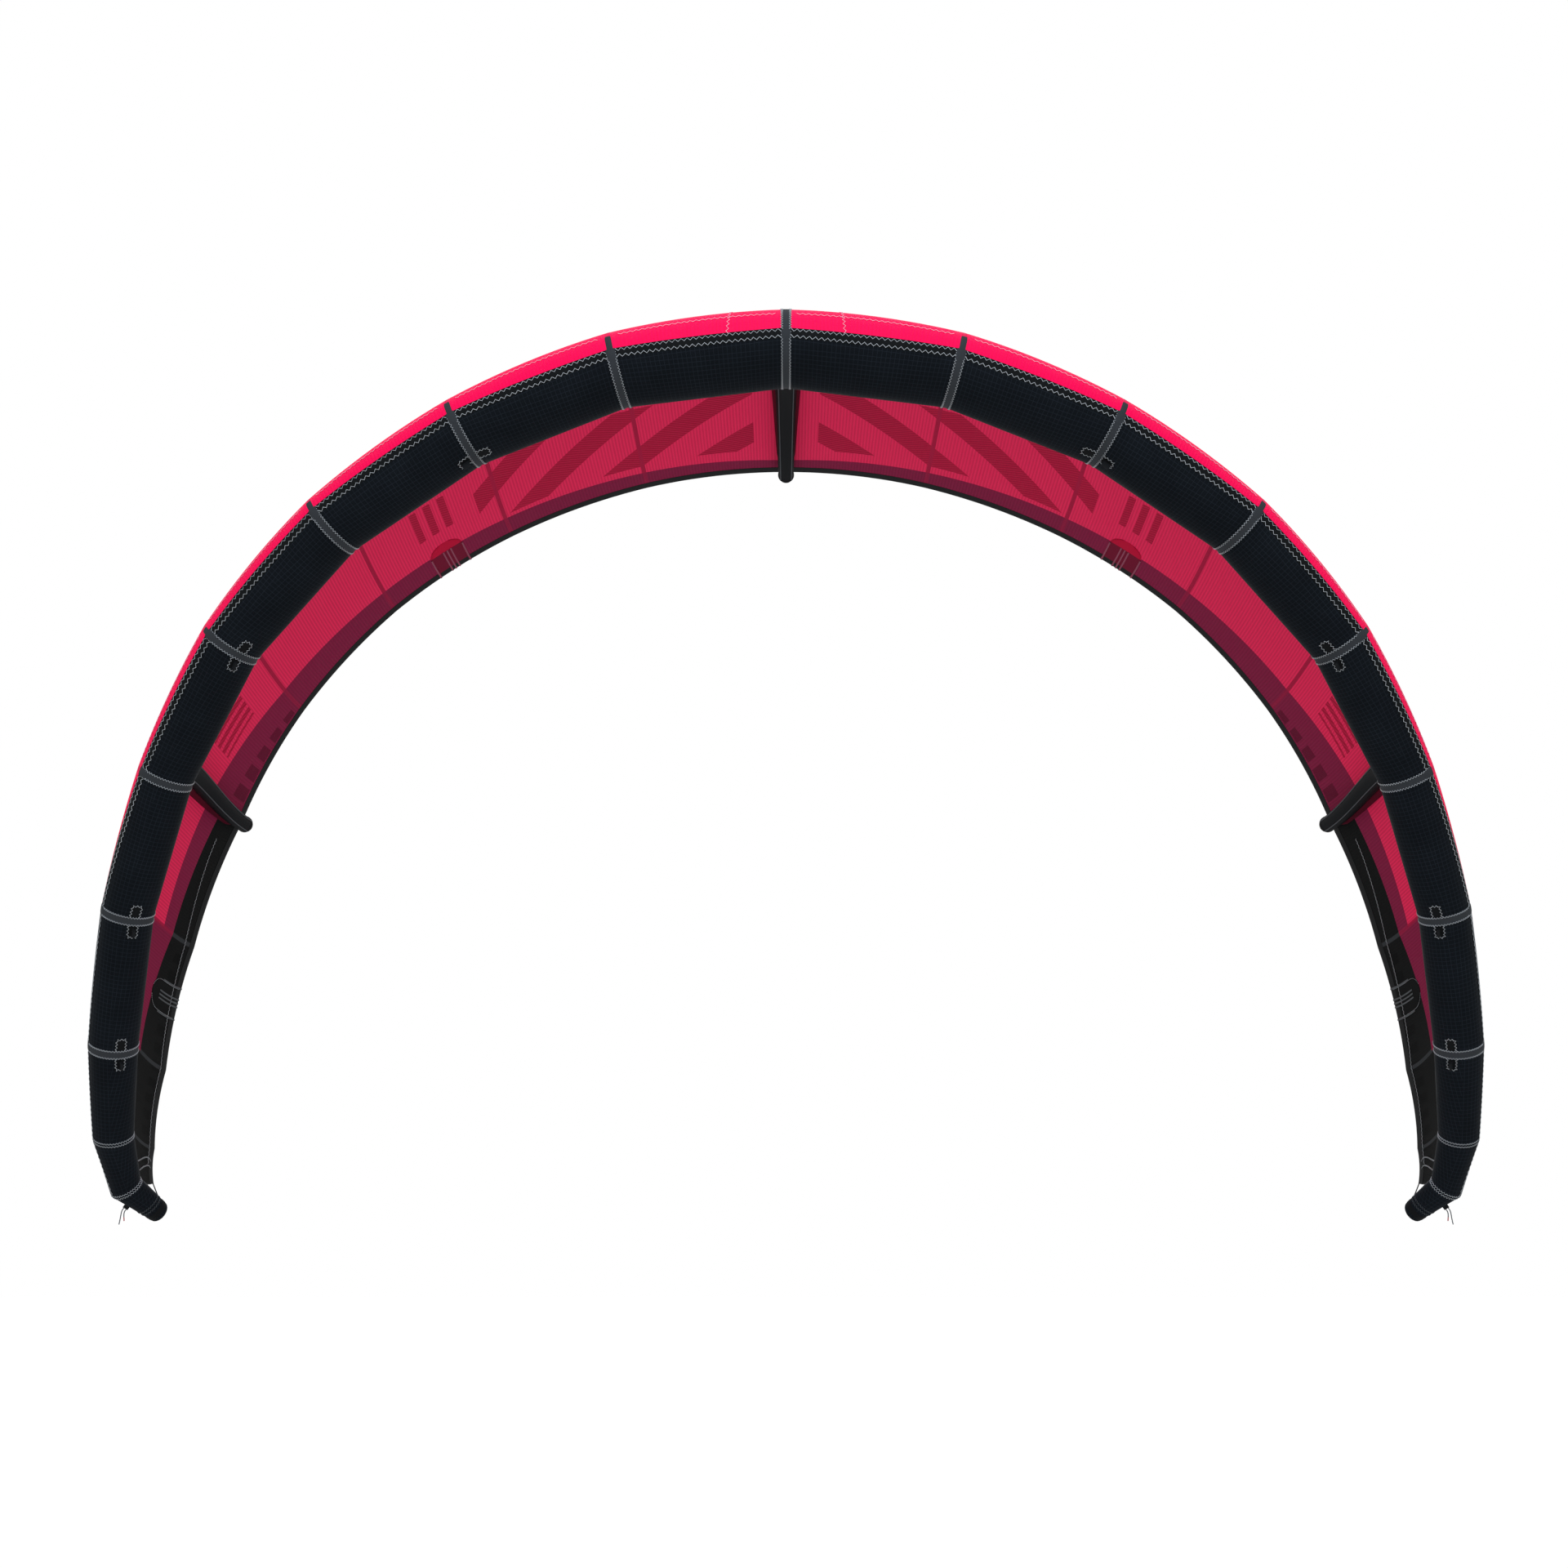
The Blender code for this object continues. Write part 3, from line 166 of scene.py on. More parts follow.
class Seam:
    """One seam of the right half: where the tube's axis bends, and the frame there."""

    def __init__(self, number, point, tangent, chord_direction):
        self.point = point
        self.tangent = tangent
        self.radius = LE_DIAMETER * LE_DIAMETER_SHARES[number] / 2
        self.chord_direction = chord_direction
        self.back = (chord_direction - tangent * chord_direction.dot(tangent)).normalized()
        self.up = tangent.cross(self.back).normalized()

    def outward(self, degrees):
        """The tube's outward direction: 0 is straight ahead, 90 is the top."""
        angle = math.radians(degrees)
        return self.up * math.sin(angle) - self.back * math.cos(angle)

    def at(self, degrees, offset=0.0):
        """A point round the tube."""
        return self.point + self.outward(degrees) * (self.radius + offset)


def heading(toe, rise):
    """A direction that leans outwards and upwards from +Y by these degrees."""
    toe = math.radians(toe)
    rise = math.radians(rise)
    return Vector((math.sin(toe) * math.cos(rise), math.cos(toe) * math.cos(rise), math.sin(rise)))


def segment_direction(drop, sweep):
    """The direction of a segment that drops and sweeps back by these degrees."""
    drop = math.radians(drop)
    sweep = math.radians(sweep)
    return Vector((math.cos(sweep) * math.cos(drop), math.sin(sweep), -math.cos(sweep) * math.sin(drop)))


def make_seams():
    """Walk along the right half of the leading edge, seam by seam."""
    runs = [segment_direction(*pair) for pair in zip(SEGMENT_DROP_DEGREES, SEGMENT_SWEEP_DEGREES)]
    point = Vector((0, 0, 0))
    seams = []
    for number in range(TIP_SEAM + 1):
        tangent = Vector((1, 0, 0))
        if number == TIP_SEAM:
            tangent = runs[-1]
        elif number > 0:
            tangent = (runs[number - 1] + runs[number]).normalized()
        chord = min(number, ELBOW_SEAM)
        seams.append(Seam(number, point.copy(), tangent, heading(CHORD_TOES[chord], CHORD_RISES[chord])))
        if number < TIP_SEAM:
            point = point + runs[number] * CENTRE_SEGMENT_LENGTH * SEGMENT_LENGTH_SHARES[number]
    return seams


SEAMS = make_seams()


def segment_length(number):
    """The axis length of one segment."""
    return (SEAMS[number + 1].point - SEAMS[number].point).length


def split_station(station):
    """A station as a segment's number, the share along it and its side."""
    number = min(int(abs(station)), TIP_SEAM - 1)
    return number, abs(station) - number, -1 if station < 0 else 1


def on_side(point, side):
    """A point or direction of the right half, carried to its own half."""
    return Vector((point.x * side, point.y, point.z))


def swell(station, degrees):
    """How far the inflated cloth bows out between two seams, on the outer side of the arch."""
    number, share, _ = split_station(station)
    height = SWELL_SHARES[number] * segment_length(number) * crown(share)
    from_middle = (degrees - SWELL_MIDDLE + 180) % 360 - 180
    return height * max(0.0, math.cos(math.radians(from_middle * 90 / SWELL_REACH)))


def tube_point(station, degrees, offset=0.0):
    """A point on the leading edge's surface."""
    number, share, side = split_station(station)
    offset += swell(station, degrees)
    point = SEAMS[number].at(degrees, offset).lerp(SEAMS[number + 1].at(degrees, offset), share)
    return on_side(point, side)


def tube_outward(station, degrees):
    """The direction straight out of the leading edge's surface."""
    number, share, side = split_station(station)
    outward = SEAMS[number].outward(degrees).lerp(SEAMS[number + 1].outward(degrees), share)
    return on_side(outward.normalized(), side)


def tube_place(station, degrees, lift=0.0):
    """A point over the leading edge's surface, and the way out from it."""
    return tube_point(station, degrees, lift), tube_outward(station, degrees)


def tube_radius(station):
    """The leading edge's radius."""
    number, share, _ = split_station(station)
    return blend(SEAMS[number].radius, SEAMS[number + 1].radius, share)


def span_at(station):
    """The length along the leading edge's axis from the centre, negative on the left."""
    number, share, side = split_station(station)
    return side * (sum(segment_length(n) for n in range(number)) + segment_length(number) * share)


def moved_station(station, distance):
    """The station a distance further along the leading edge, outwards where it is positive."""
    number, share, side = split_station(station)
    share += distance / segment_length(number)
    if share < 0 and number > 0:
        return side * (number + share * segment_length(number) / segment_length(number - 1))
    return side * (number + share)


def front_edge_degrees(station):
    """Where the canopy's front edge runs round the tube."""
    return between_seams(CANOPY_EDGE_ANGLES, station)


def leave_degrees(front):
    """Where the canopy leaves the tube, from where its front lies."""
    return max(LEAVE_ANGLE, front + SHORTEST_WRAP)


def canopy_seat(number):
    """How far the canopy's underside clears the tube."""
    front = FRONT_SEAM_ANGLES[number]
    step = math.radians((leave_degrees(front) - front) / CAD_WRAP_STEPS)
    return TAPE_THICKNESS + SEAMS[number].radius * (1 - math.cos(step / 2)) + CLEARANCE


def trailing_point(number):
    """The trailing edge at a seam."""
    seam = SEAMS[number]
    return seam.point + seam.chord_direction * CENTRE_CHORD * CHORD_SHARES[number]


@functools.lru_cache(maxsize=None)
def canopy_curve(number):
    """The canopy's underside at a seam, from the front seam to the trailing edge."""
    seam = SEAMS[number]
    seat = canopy_seat(number)
    leave = leave_degrees(FRONT_SEAM_ANGLES[number])
    points = []
    for k, degrees in enumerate(spread(CANOPY_EDGE_ANGLES[number], leave, WRAP_STEPS)):
        points.append(seam.at(degrees, blend(CLEARANCE, seat, ease(k / WRAP_STEPS / LIFTED_SHARE))))
    start = points[-1]
    end = trailing_point(number)
    reach = (end - start).length
    slope = math.radians(TRAILING_SLOPE)
    angle = math.radians(leave)
    leaving = seam.back * math.sin(angle) + seam.up * math.cos(angle)
    arriving = seam.chord_direction * math.cos(slope) - seam.up * math.sin(slope)
    first_handle = start + leaving * reach * FRONT_HANDLE_SHARE
    second_handle = end - arriving * reach * REAR_HANDLE_SHARE
    for k in range(1, FREE_STEPS + 1):
        points.append(bezier(start, first_handle, second_handle, end, k / FREE_STEPS))
    return points


@functools.lru_cache(maxsize=None)
def canopy_row(station):
    """The canopy's underside at a station, lifted by its panel's billow and the tube's swell."""
    number, share, side = split_station(station)
    if number >= ELBOW_SEAM:
        number, share = ELBOW_SEAM - 1, 1.0
    up = SEAMS[number].up.lerp(SEAMS[number + 1].up, share).normalized()
    height = BILLOW_SHARE * segment_length(number) * crown(share)
    edge = front_edge_degrees(station)
    row = []
    for k, (near, far) in enumerate(zip(canopy_curve(number), canopy_curve(number + 1))):
        if k < WRAP_STEPS:
            degrees = blend(edge, leave_degrees(edge), k / WRAP_STEPS)
            lift = SEAMS[number].outward(degrees) * swell(station, degrees)
        else:
            back = (k - WRAP_STEPS) / FREE_STEPS
            lift = up * (height * math.sin(back * math.pi / 2) + swell(station, LEAVE_ANGLE) * (1 - back))
        row.append(on_side(near.lerp(far, share) + lift, side))
    return row


@functools.lru_cache(maxsize=None)
def chord_lengths(station):
    """How far each point of a row is from the trailing edge, along the cloth."""
    row = canopy_row(station)
    lengths = [0.0]
    for near, far in zip(row[::-1], row[-2::-1]):
        lengths.append(lengths[-1] + (near - far).length)
    return lengths[::-1]


def canopy_line_point(station, chord):
    """The point of the canopy's underside a length in front of the trailing edge."""
    row = canopy_row(station)
    lengths = chord_lengths(station)
    for k in range(len(row) - 1, 0, -1):
        if lengths[k - 1] >= chord or k == 1:
            share = (chord - lengths[k]) / (lengths[k - 1] - lengths[k])
            return blend(row[k], row[k - 1], share)
    return row[0]


def canopy_frame(station, chord):
    """The point of the canopy's underside there, and the direction straight up from it."""
    inner = canopy_line_point(station - NEAR_STATION, chord)
    outer = canopy_line_point(station + NEAR_STATION, chord)
    front = canopy_line_point(station, chord + NEAR_CHORD)
    rear = canopy_line_point(station, max(0.0, chord - NEAR_CHORD))
    return canopy_line_point(station, chord), (outer - inner).cross(rear - front).normalized()


# Nodes, colours and the small patterns that several materials share


def add_node(tree, kind, links=None, **settings):
    """Add a node with its settings; links gives an input a value or another node's output."""
    node = tree.nodes.new(kind)
    for name, value in settings.items():
        setattr(node, name, value)
    for socket, source in (links or {}).items():
        if isinstance(source, bpy.types.Node):
            source = source.outputs[0]
        if isinstance(source, bpy.types.NodeSocket):
            tree.links.new(source, node.inputs[socket])
        else:
            node.inputs[socket].default_value = source
    return node


def colour(code):
    """A linear colour from its sRGB hex value."""
    channels = [int(code[k:k + 2], 16) / 255 for k in (1, 3, 5)]
    linear = [c / 12.92 if c <= 0.04045 else ((c + 0.055) / 1.055) ** 2.4 for c in channels]
    return (*linear, 1.0)


def new_material(name, roughness, specular):
    """A Principled material with its own gloss."""
    material = bpy.data.materials.new(name)
    material.use_nodes = True
    tree = material.node_tree
    shader = tree.nodes["Principled BSDF"]
    shader.inputs["Roughness"].default_value = roughness
    shader.inputs["Specular IOR Level"].default_value = specular
    return material, tree, shader


def stripes(tree, position, pitch, share):
    """1 on stripes that take a share of each pitch of a length, and 0 between them."""
    turns = add_node(tree, "ShaderNodeMath", {0: position, 1: pitch}, operation="DIVIDE")
    within = add_node(tree, "ShaderNodeMath", {0: turns}, operation="FRACT")
    return add_node(tree, "ShaderNodeMath", {0: within, 1: share}, operation="LESS_THAN")


def inside(tree, position, low, high):
    """1 where a length lies between two others, and 0 elsewhere."""
    above = add_node(tree, "ShaderNodeMath", {0: position, 1: low}, operation="GREATER_THAN")
    below = add_node(tree, "ShaderNodeMath", {0: position, 1: high}, operation="LESS_THAN")
    return overlap(tree, above, below)


def overlap(tree, first, *others):
    """1 where every mask is 1, and 0 elsewhere."""
    for mask in others:
        first = add_node(tree, "ShaderNodeMath", {0: first, 1: mask}, operation="MULTIPLY")
    return first


def painted(tree, under, mask, over):
    """Lay a colour over another where a mask is 1."""
    return add_node(tree, "ShaderNodeMix", {0: mask, 6: under, 7: over}, data_type="RGBA").outputs[2]


def roughened(tree, shader, height, depth, strength):
    """Raise a surface by a height pattern, a depth in metres at its highest."""
    relief = add_node(tree, "ShaderNodeBump", {"Height": height, "Distance": depth, "Strength": strength})
    tree.links.new(relief.outputs[0], shader.inputs["Normal"])


def ripstop_height(tree, along, across, cell, line_share, weave):
    """A cloth's surface: a fine plain weave with thicker ripstop threads in squares."""
    lines = add_node(tree, "ShaderNodeMath", {0: stripes(tree, along, cell, line_share),
                                              1: stripes(tree, across, cell, line_share)},
                     operation="MAXIMUM")
    threads = []
    for direction in (along, across):
        turn = add_node(tree, "ShaderNodeMath", {0: direction, 1: math.tau / weave}, operation="MULTIPLY")
        threads.append(add_node(tree, "ShaderNodeMath", {0: turn}, operation="SINE"))
    plain = add_node(tree, "ShaderNodeMath", {0: threads[0], 1: threads[1]}, operation="MULTIPLY")
    height = add_node(tree, "ShaderNodeMath", {0: plain, 1: WEAVE_HEIGHT_SHARE, 2: lines},
                      operation="MULTIPLY_ADD")
    return height, lines


# Cloth patterns, in metres. Real ripstop has squares of about 5 mm, ribs 3 mm apart and threads of
# 0.2 to 0.3 mm: all are drawn two to six times coarser, so that they show on a kite 4 m wide.
CASING_GRID = 0.012
CASING_LINE_SHARE = 0.10
CASING_WEAVE = 0.0016
CASING_RELIEF = {"depth": 0.00025, "strength": 0.7}
CANOPY_GRID = 0.010
CANOPY_LINE_SHARE = 0.12
CANOPY_WEAVE = 0.0014
CANOPY_RELIEF = {"depth": 0.0002, "strength": 0.6}
WEAVE_HEIGHT_SHARE = 0.25
RIB_PITCH = 0.0095
RIB_HEIGHT_SHARE = 0.8
# Dye and gloss vary a little over patches about 11 cm wide
MOTTLE = {"Scale": 9.0, "Detail": 5.0, "Roughness": 0.6}
MOTTLE_TONES = {"From Min": 0.35, "From Max": 0.70, "To Min": 0.85, "To Max": 1.15}
MOTTLE_GLOSS_FROM = (0.30, 0.75)
MOTTLE_GLOSS = (-0.06, 0.08)
# Threads of a tape or braid are lighter and darker by this much, and stand this far out
THREAD_TONES = {"To Min": 0.82, "To Max": 1.18}
THREAD_RELIEF_SHARE = 0.2
THREAD_RELIEF_STRENGTH = 0.5
# A moulding's gloss wanders by this much, and its skin is this rough
SKIN_GLOSS = 0.08
SKIN_RELIEF_SHARE = 0.04
SKIN_RELIEF_STRENGTH = 0.4


def sailcloth(name, base_code, line_code, roughness, specular):
    """Woven polyester sailcloth with a ripstop grid, read from the piece's own cloth map."""
    material, tree, shader = new_material(name, roughness, specular)
    flat = add_node(tree, "ShaderNodeUVMap", uv_map="cloth")
    metres = add_node(tree, "ShaderNodeSeparateXYZ", {0: flat})
    height, lines = ripstop_height(tree, metres.outputs[0], metres.outputs[1],
                                   CASING_GRID, CASING_LINE_SHARE, CASING_WEAVE)
    where = add_node(tree, "ShaderNodeTexCoord")
    mottle = add_node(tree, "ShaderNodeTexNoise", {"Vector": where.outputs["Object"], **MOTTLE})
    tone = add_node(tree, "ShaderNodeMapRange", {"Value": mottle, **MOTTLE_TONES})
    dyed = painted(tree, colour(base_code), lines, colour(line_code))
    shade = add_node(tree, "ShaderNodeVectorMath", {0: dyed, "Scale": tone}, operation="SCALE")
    tree.links.new(shade.outputs[0], shader.inputs["Base Color"])
    gloss = add_node(tree, "ShaderNodeMapRange", {"Value": mottle, "From Min": MOTTLE_GLOSS_FROM[0],
                                                  "From Max": MOTTLE_GLOSS_FROM[1],
                                                  "To Min": roughness + MOTTLE_GLOSS[0],
                                                  "To Max": roughness + MOTTLE_GLOSS[1]})
    tree.links.new(gloss.outputs[0], shader.inputs["Roughness"])
    roughened(tree, shader, height, **CASING_RELIEF)
    return material


def plain_cloth(name, code, roughness, grain, specular=0.06):
    """A tape, webbing, braid or thread: one dyed colour with a fine grain of threads."""
    material, tree, shader = new_material(name, roughness, specular)
    where = add_node(tree, "ShaderNodeTexCoord")
    threads = add_node(tree, "ShaderNodeTexNoise", {"Vector": where.outputs["Object"],
                                                    "Scale": 1 / grain, "Detail": 2.0})
    tone = add_node(tree, "ShaderNodeMapRange", {"Value": threads, **THREAD_TONES})
    shade = add_node(tree, "ShaderNodeVectorMath", {0: colour(code)[:3], "Scale": tone},
                     operation="SCALE")
    tree.links.new(shade.outputs[0], shader.inputs["Base Color"])
    roughened(tree, shader, threads.outputs[0], grain * THREAD_RELIEF_SHARE, THREAD_RELIEF_STRENGTH)
    return material


# Woven polyester of the tube: matt near-black, its ripstop grid a shade lighter
CASING_BLACK = sailcloth("black_polyester_sailcloth", "#101418", "#1D2228", roughness=0.60, specular=0.02)
# Grosgrain seam tape: dark grey, a little lighter than the casing
SEAM_TAPE_GREY = plain_cloth("dark_grey_seam_tape", "#303336", roughness=0.7, grain=0.0012)
# Piping beneath the struts: mid grey, so that it shows as a fine line on the black
PIPING_GREY = plain_cloth("mid_grey_piping", "#43474A", roughness=0.65, grain=0.0010)
# Folded polyester tape of the edges: black and matt
EDGE_TAPE_BLACK = plain_cloth("black_folded_edge_tape", "#0E1011", roughness=0.66, grain=0.0012)
# Polyester sewing thread: light on black cloth, and dark, crimson or pale pink where it is meant
# to show less. It is drawn about four times thicker than real, so that it shows.
THREAD_GREY = plain_cloth("light_grey_sewing_thread", "#A9AEB1", roughness=0.6, grain=0.001)
THREAD_DARK = plain_cloth("dark_grey_sewing_thread", "#4A4E50", roughness=0.6, grain=0.001)
THREAD_CRIMSON = plain_cloth("crimson_sewing_thread", "#8C1B38", roughness=0.6, grain=0.001)
THREAD_PINK = plain_cloth("pale_pink_sewing_thread", "#F7A8C0", roughness=0.6, grain=0.001)
# Polyester cloth of the struts: matt black, with gussets that fade into the canopy; the gussets are real
# strips, and their dark wine is the canopy cloth with painted shade beside the strut
STRUT_BLACK = plain_cloth("black_strut_sailcloth", "#121416", roughness=0.62, grain=0.0014, specular=0.02)
GUSSET_CLOTH_AND_SHADE = plain_cloth("gusset_cloth_and_painted_shade", "#4C0A1E", roughness=0.62, grain=0.0012, specular=0.02)
# Adhesive polyester of the batten patches and the tape on the battens: dull, tone on tone
PATCH_RED = plain_cloth("deep_red_patch_cloth", "#B40F35", roughness=0.65, grain=0.0014, specular=0.015)
PATCH_WINE = plain_cloth("wine_patch_cloth", "#6B122C", roughness=0.65, grain=0.0014, specular=0.015)
PATCH_BLACK = plain_cloth("black_patch_cloth", "#0C0D0D", roughness=0.65, grain=0.0014, specular=0.015)
RIB_ROSE = plain_cloth("dusky_rose_batten_tape", "#8A4A5C", roughness=0.65, grain=0.0012, specular=0.015)
# Polyester webbing of the loops: black, with a coarser weave
WEBBING_BLACK = plain_cloth("black_polyester_webbing", "#17191B", roughness=0.62, grain=0.0015)
# Braided polyester pigtails: grey, and the short one's red whipping
CORD_GREY = plain_cloth("grey_braided_cord", "#5B6064", roughness=0.65, grain=0.0008)
CORD_RED = plain_cloth("red_whipping_thread", "#B0182C", roughness=0.6, grain=0.0006)


def moulded(name, code, roughness, grain, specular=0.45):
    """A moulded plastic or rubber: even colour, faint texture and uneven gloss."""
    material, tree, shader = new_material(name, roughness, specular)
    shader.inputs["Base Color"].default_value = colour(code)
    where = add_node(tree, "ShaderNodeTexCoord")
    skin = add_node(tree, "ShaderNodeTexNoise", {"Vector": where.outputs["Object"], "Scale": 1 / grain,
                                                 "Detail": 3.0})
    gloss = add_node(tree, "ShaderNodeMapRange", {"Value": skin, "To Min": roughness - SKIN_GLOSS,
                                                  "To Max": roughness + SKIN_GLOSS})
    tree.links.new(gloss.outputs[0], shader.inputs["Roughness"])
    roughened(tree, shader, skin.outputs[0], grain * SKIN_RELIEF_SHARE, SKIN_RELIEF_STRENGTH)
    return material


# Moulded rubber of the strut caps and the valve's cap: black, softly matt
CAP_RUBBER = moulded("moulded_black_rubber", "#08090A", roughness=0.5, grain=0.002, specular=0.12)
# Injection-moulded nylon of the valve: satin grey
VALVE_PLASTIC = moulded("satin_grey_valve_moulding", "#5E6366", roughness=0.42, grain=0.003)
# Extruded flexible tube of the one-pump hoses: smoky and glossy
HOSE_PLASTIC = moulded("smoky_flexible_hose", "#6E7477", roughness=0.28, grain=0.0016, specular=0.4)
# Injection-moulded acetal of the pinch clips: glossy red
CLIP_PLASTIC = moulded("glossy_red_clip_moulding", "#C4161C", roughness=0.3, grain=0.004, specular=0.5)
# Thermoplastic film of the bladders: milky, with a soft shine
BLADDER_FILM = moulded("milky_bladder_film", "#C9CDCE", roughness=0.4, grain=0.02, specular=0.4)


# Mesh building


def add_piece(name, mesh, *materials):
    """Link a finished mesh under a name, with its materials in order."""
    mesh.name = name
    piece = bpy.data.objects.new(name, mesh)
    for material in materials:
        mesh.materials.append(material)
    bpy.context.scene.collection.objects.link(piece)
    return piece


def ride(piece, nodes=(), body=BODY):
    """Fix a piece to its body, and hide the imported nodes that it stands for."""
    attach(piece, body)
    if nodes:
        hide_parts(*nodes)
    return piece


def fit_piece(name, mesh, slot, *materials, nodes=(), body=BODY):
    """Make a mesh a piece that rides on its body."""
    return ride(add_piece(name, mesh, *materials), nodes, body)


def grid_faces(rows, columns, start=0, closed=False):
    """Faces between rows of equally many points; closed joins each row's ends."""
    faces = []
    for r in range(rows - 1):
        for c in range(columns if closed else columns - 1):
            a = start + r * columns + c
            b = start + r * columns + (c + 1) % columns
            faces.append((a, b, b + columns, a + columns))
    return faces


def turned_outwards(mesh):
    """Point a mesh's faces outwards."""
    shape = bmesh.new()
    shape.from_mesh(mesh)
    bmesh.ops.recalc_face_normals(shape, faces=shape.faces)
    shape.to_mesh(mesh)
    shape.free()


def smoothed(mesh):
    """Shade a mesh smooth, apart from its corners."""
    mesh.shade_smooth()
    mesh.set_sharp_from_angle(angle=math.radians(SHARP_DEGREES))


def mesh_from_rows(rows, closed=False, capped=False, flat=None):
    """A smooth surface through rows of points; flat gives each point's place on the cut cloth."""
    columns = len(rows[0])
    points = [point for row in rows for point in row]
    faces = grid_faces(len(rows), columns, closed=closed)
    if capped:
        faces.append(tuple(range(columns))[::-1])
        faces.append(tuple(range(len(points) - columns, len(points))))
    mesh = bpy.data.meshes.new("surface")
    mesh.from_pydata(points, [], faces)
    turned_outwards(mesh)
    if flat:
        write_cloth_map(mesh, [place for row in flat for place in row])
    smoothed(mesh)
    return mesh


def joined(meshes):
    """Several meshes as one."""
    shape = bmesh.new()
    for mesh in meshes:
        shape.from_mesh(mesh)
        bpy.data.meshes.remove(mesh)
    mesh = bpy.data.meshes.new("joined")
    shape.to_mesh(mesh)
    shape.free()
    smoothed(mesh)
    return mesh


def tube_mesh(line, radius, sides=CORD_SIDES):
    """A round cord along a line of points, its ends closed."""
    rows = []
    normal = None
    for k, point in enumerate(line):
        run = (line[min(k + 1, len(line) - 1)] - line[max(k - 1, 0)]).normalized()
        if normal is None:
            normal = run.orthogonal().normalized()
        normal = (normal - run * normal.dot(run)).normalized()
        rows.append(ring(point, normal * radius, run.cross(normal) * radius, sides))
    return mesh_from_rows(rows, closed=True, capped=True)


def write_cloth_map(mesh, places):
    """Give each point its place on the flat cloth, in metres."""
    layer = mesh.uv_layers.new(name="cloth")
    for loop in mesh.loops:
        layer.data[loop.index].uv = places[loop.vertex_index]


def write_attribute(mesh, name, kind, values):
    """Give each point a number or three under a name that materials and node trees read."""
    layer = mesh.attributes.new(name, kind, "POINT")
    layer.data.foreach_set("value" if kind == "FLOAT" else "vector", values)


def finished(piece, name):
    """A piece's evaluated mesh as a plain object, in place of the piece."""
    bpy.context.view_layer.update()
    graph = bpy.context.evaluated_depsgraph_get()
    mesh = bpy.data.meshes.new_from_object(piece.evaluated_get(graph))
    bpy.data.objects.remove(piece, do_unlink=True)
    return add_piece(name, mesh)


# Stitching: Geometry Nodes that sew along lines laid on the cloth. Each stitch has its length, its
# width across the line and the thread's radius.
TAPE_ZIGZAG = (0.0042, 0.0048, 0.0008)
BORDER_ZIGZAG = (0.0080, 0.0078, 0.0010)
CENTRE_TAPE_ZIGZAG = (0.0042, 0.0060, 0.0010)
PANEL_ZIGZAG = (0.0080, 0.0070, 0.0009)
BRIDLE_PATCH_ZIGZAG = (0.0050, 0.0055, 0.0008)
WING_TIP_ZIGZAG = (0.0038, 0.0050, 0.0009)
BATTEN_PATCH_DASHES = (0.0070, 0.0, 0.0009)
BAND_ZIGZAG = (0.0060, 0.0055, 0.0008)
CORNER_ZIGZAG = (0.0050, 0.0045, 0.0007)
THREAD_SIDES = 4
THREAD_SEAT_SHARE = 0.6
DASH_PROPORTIONS = (3.0, 1.0, 0.7)


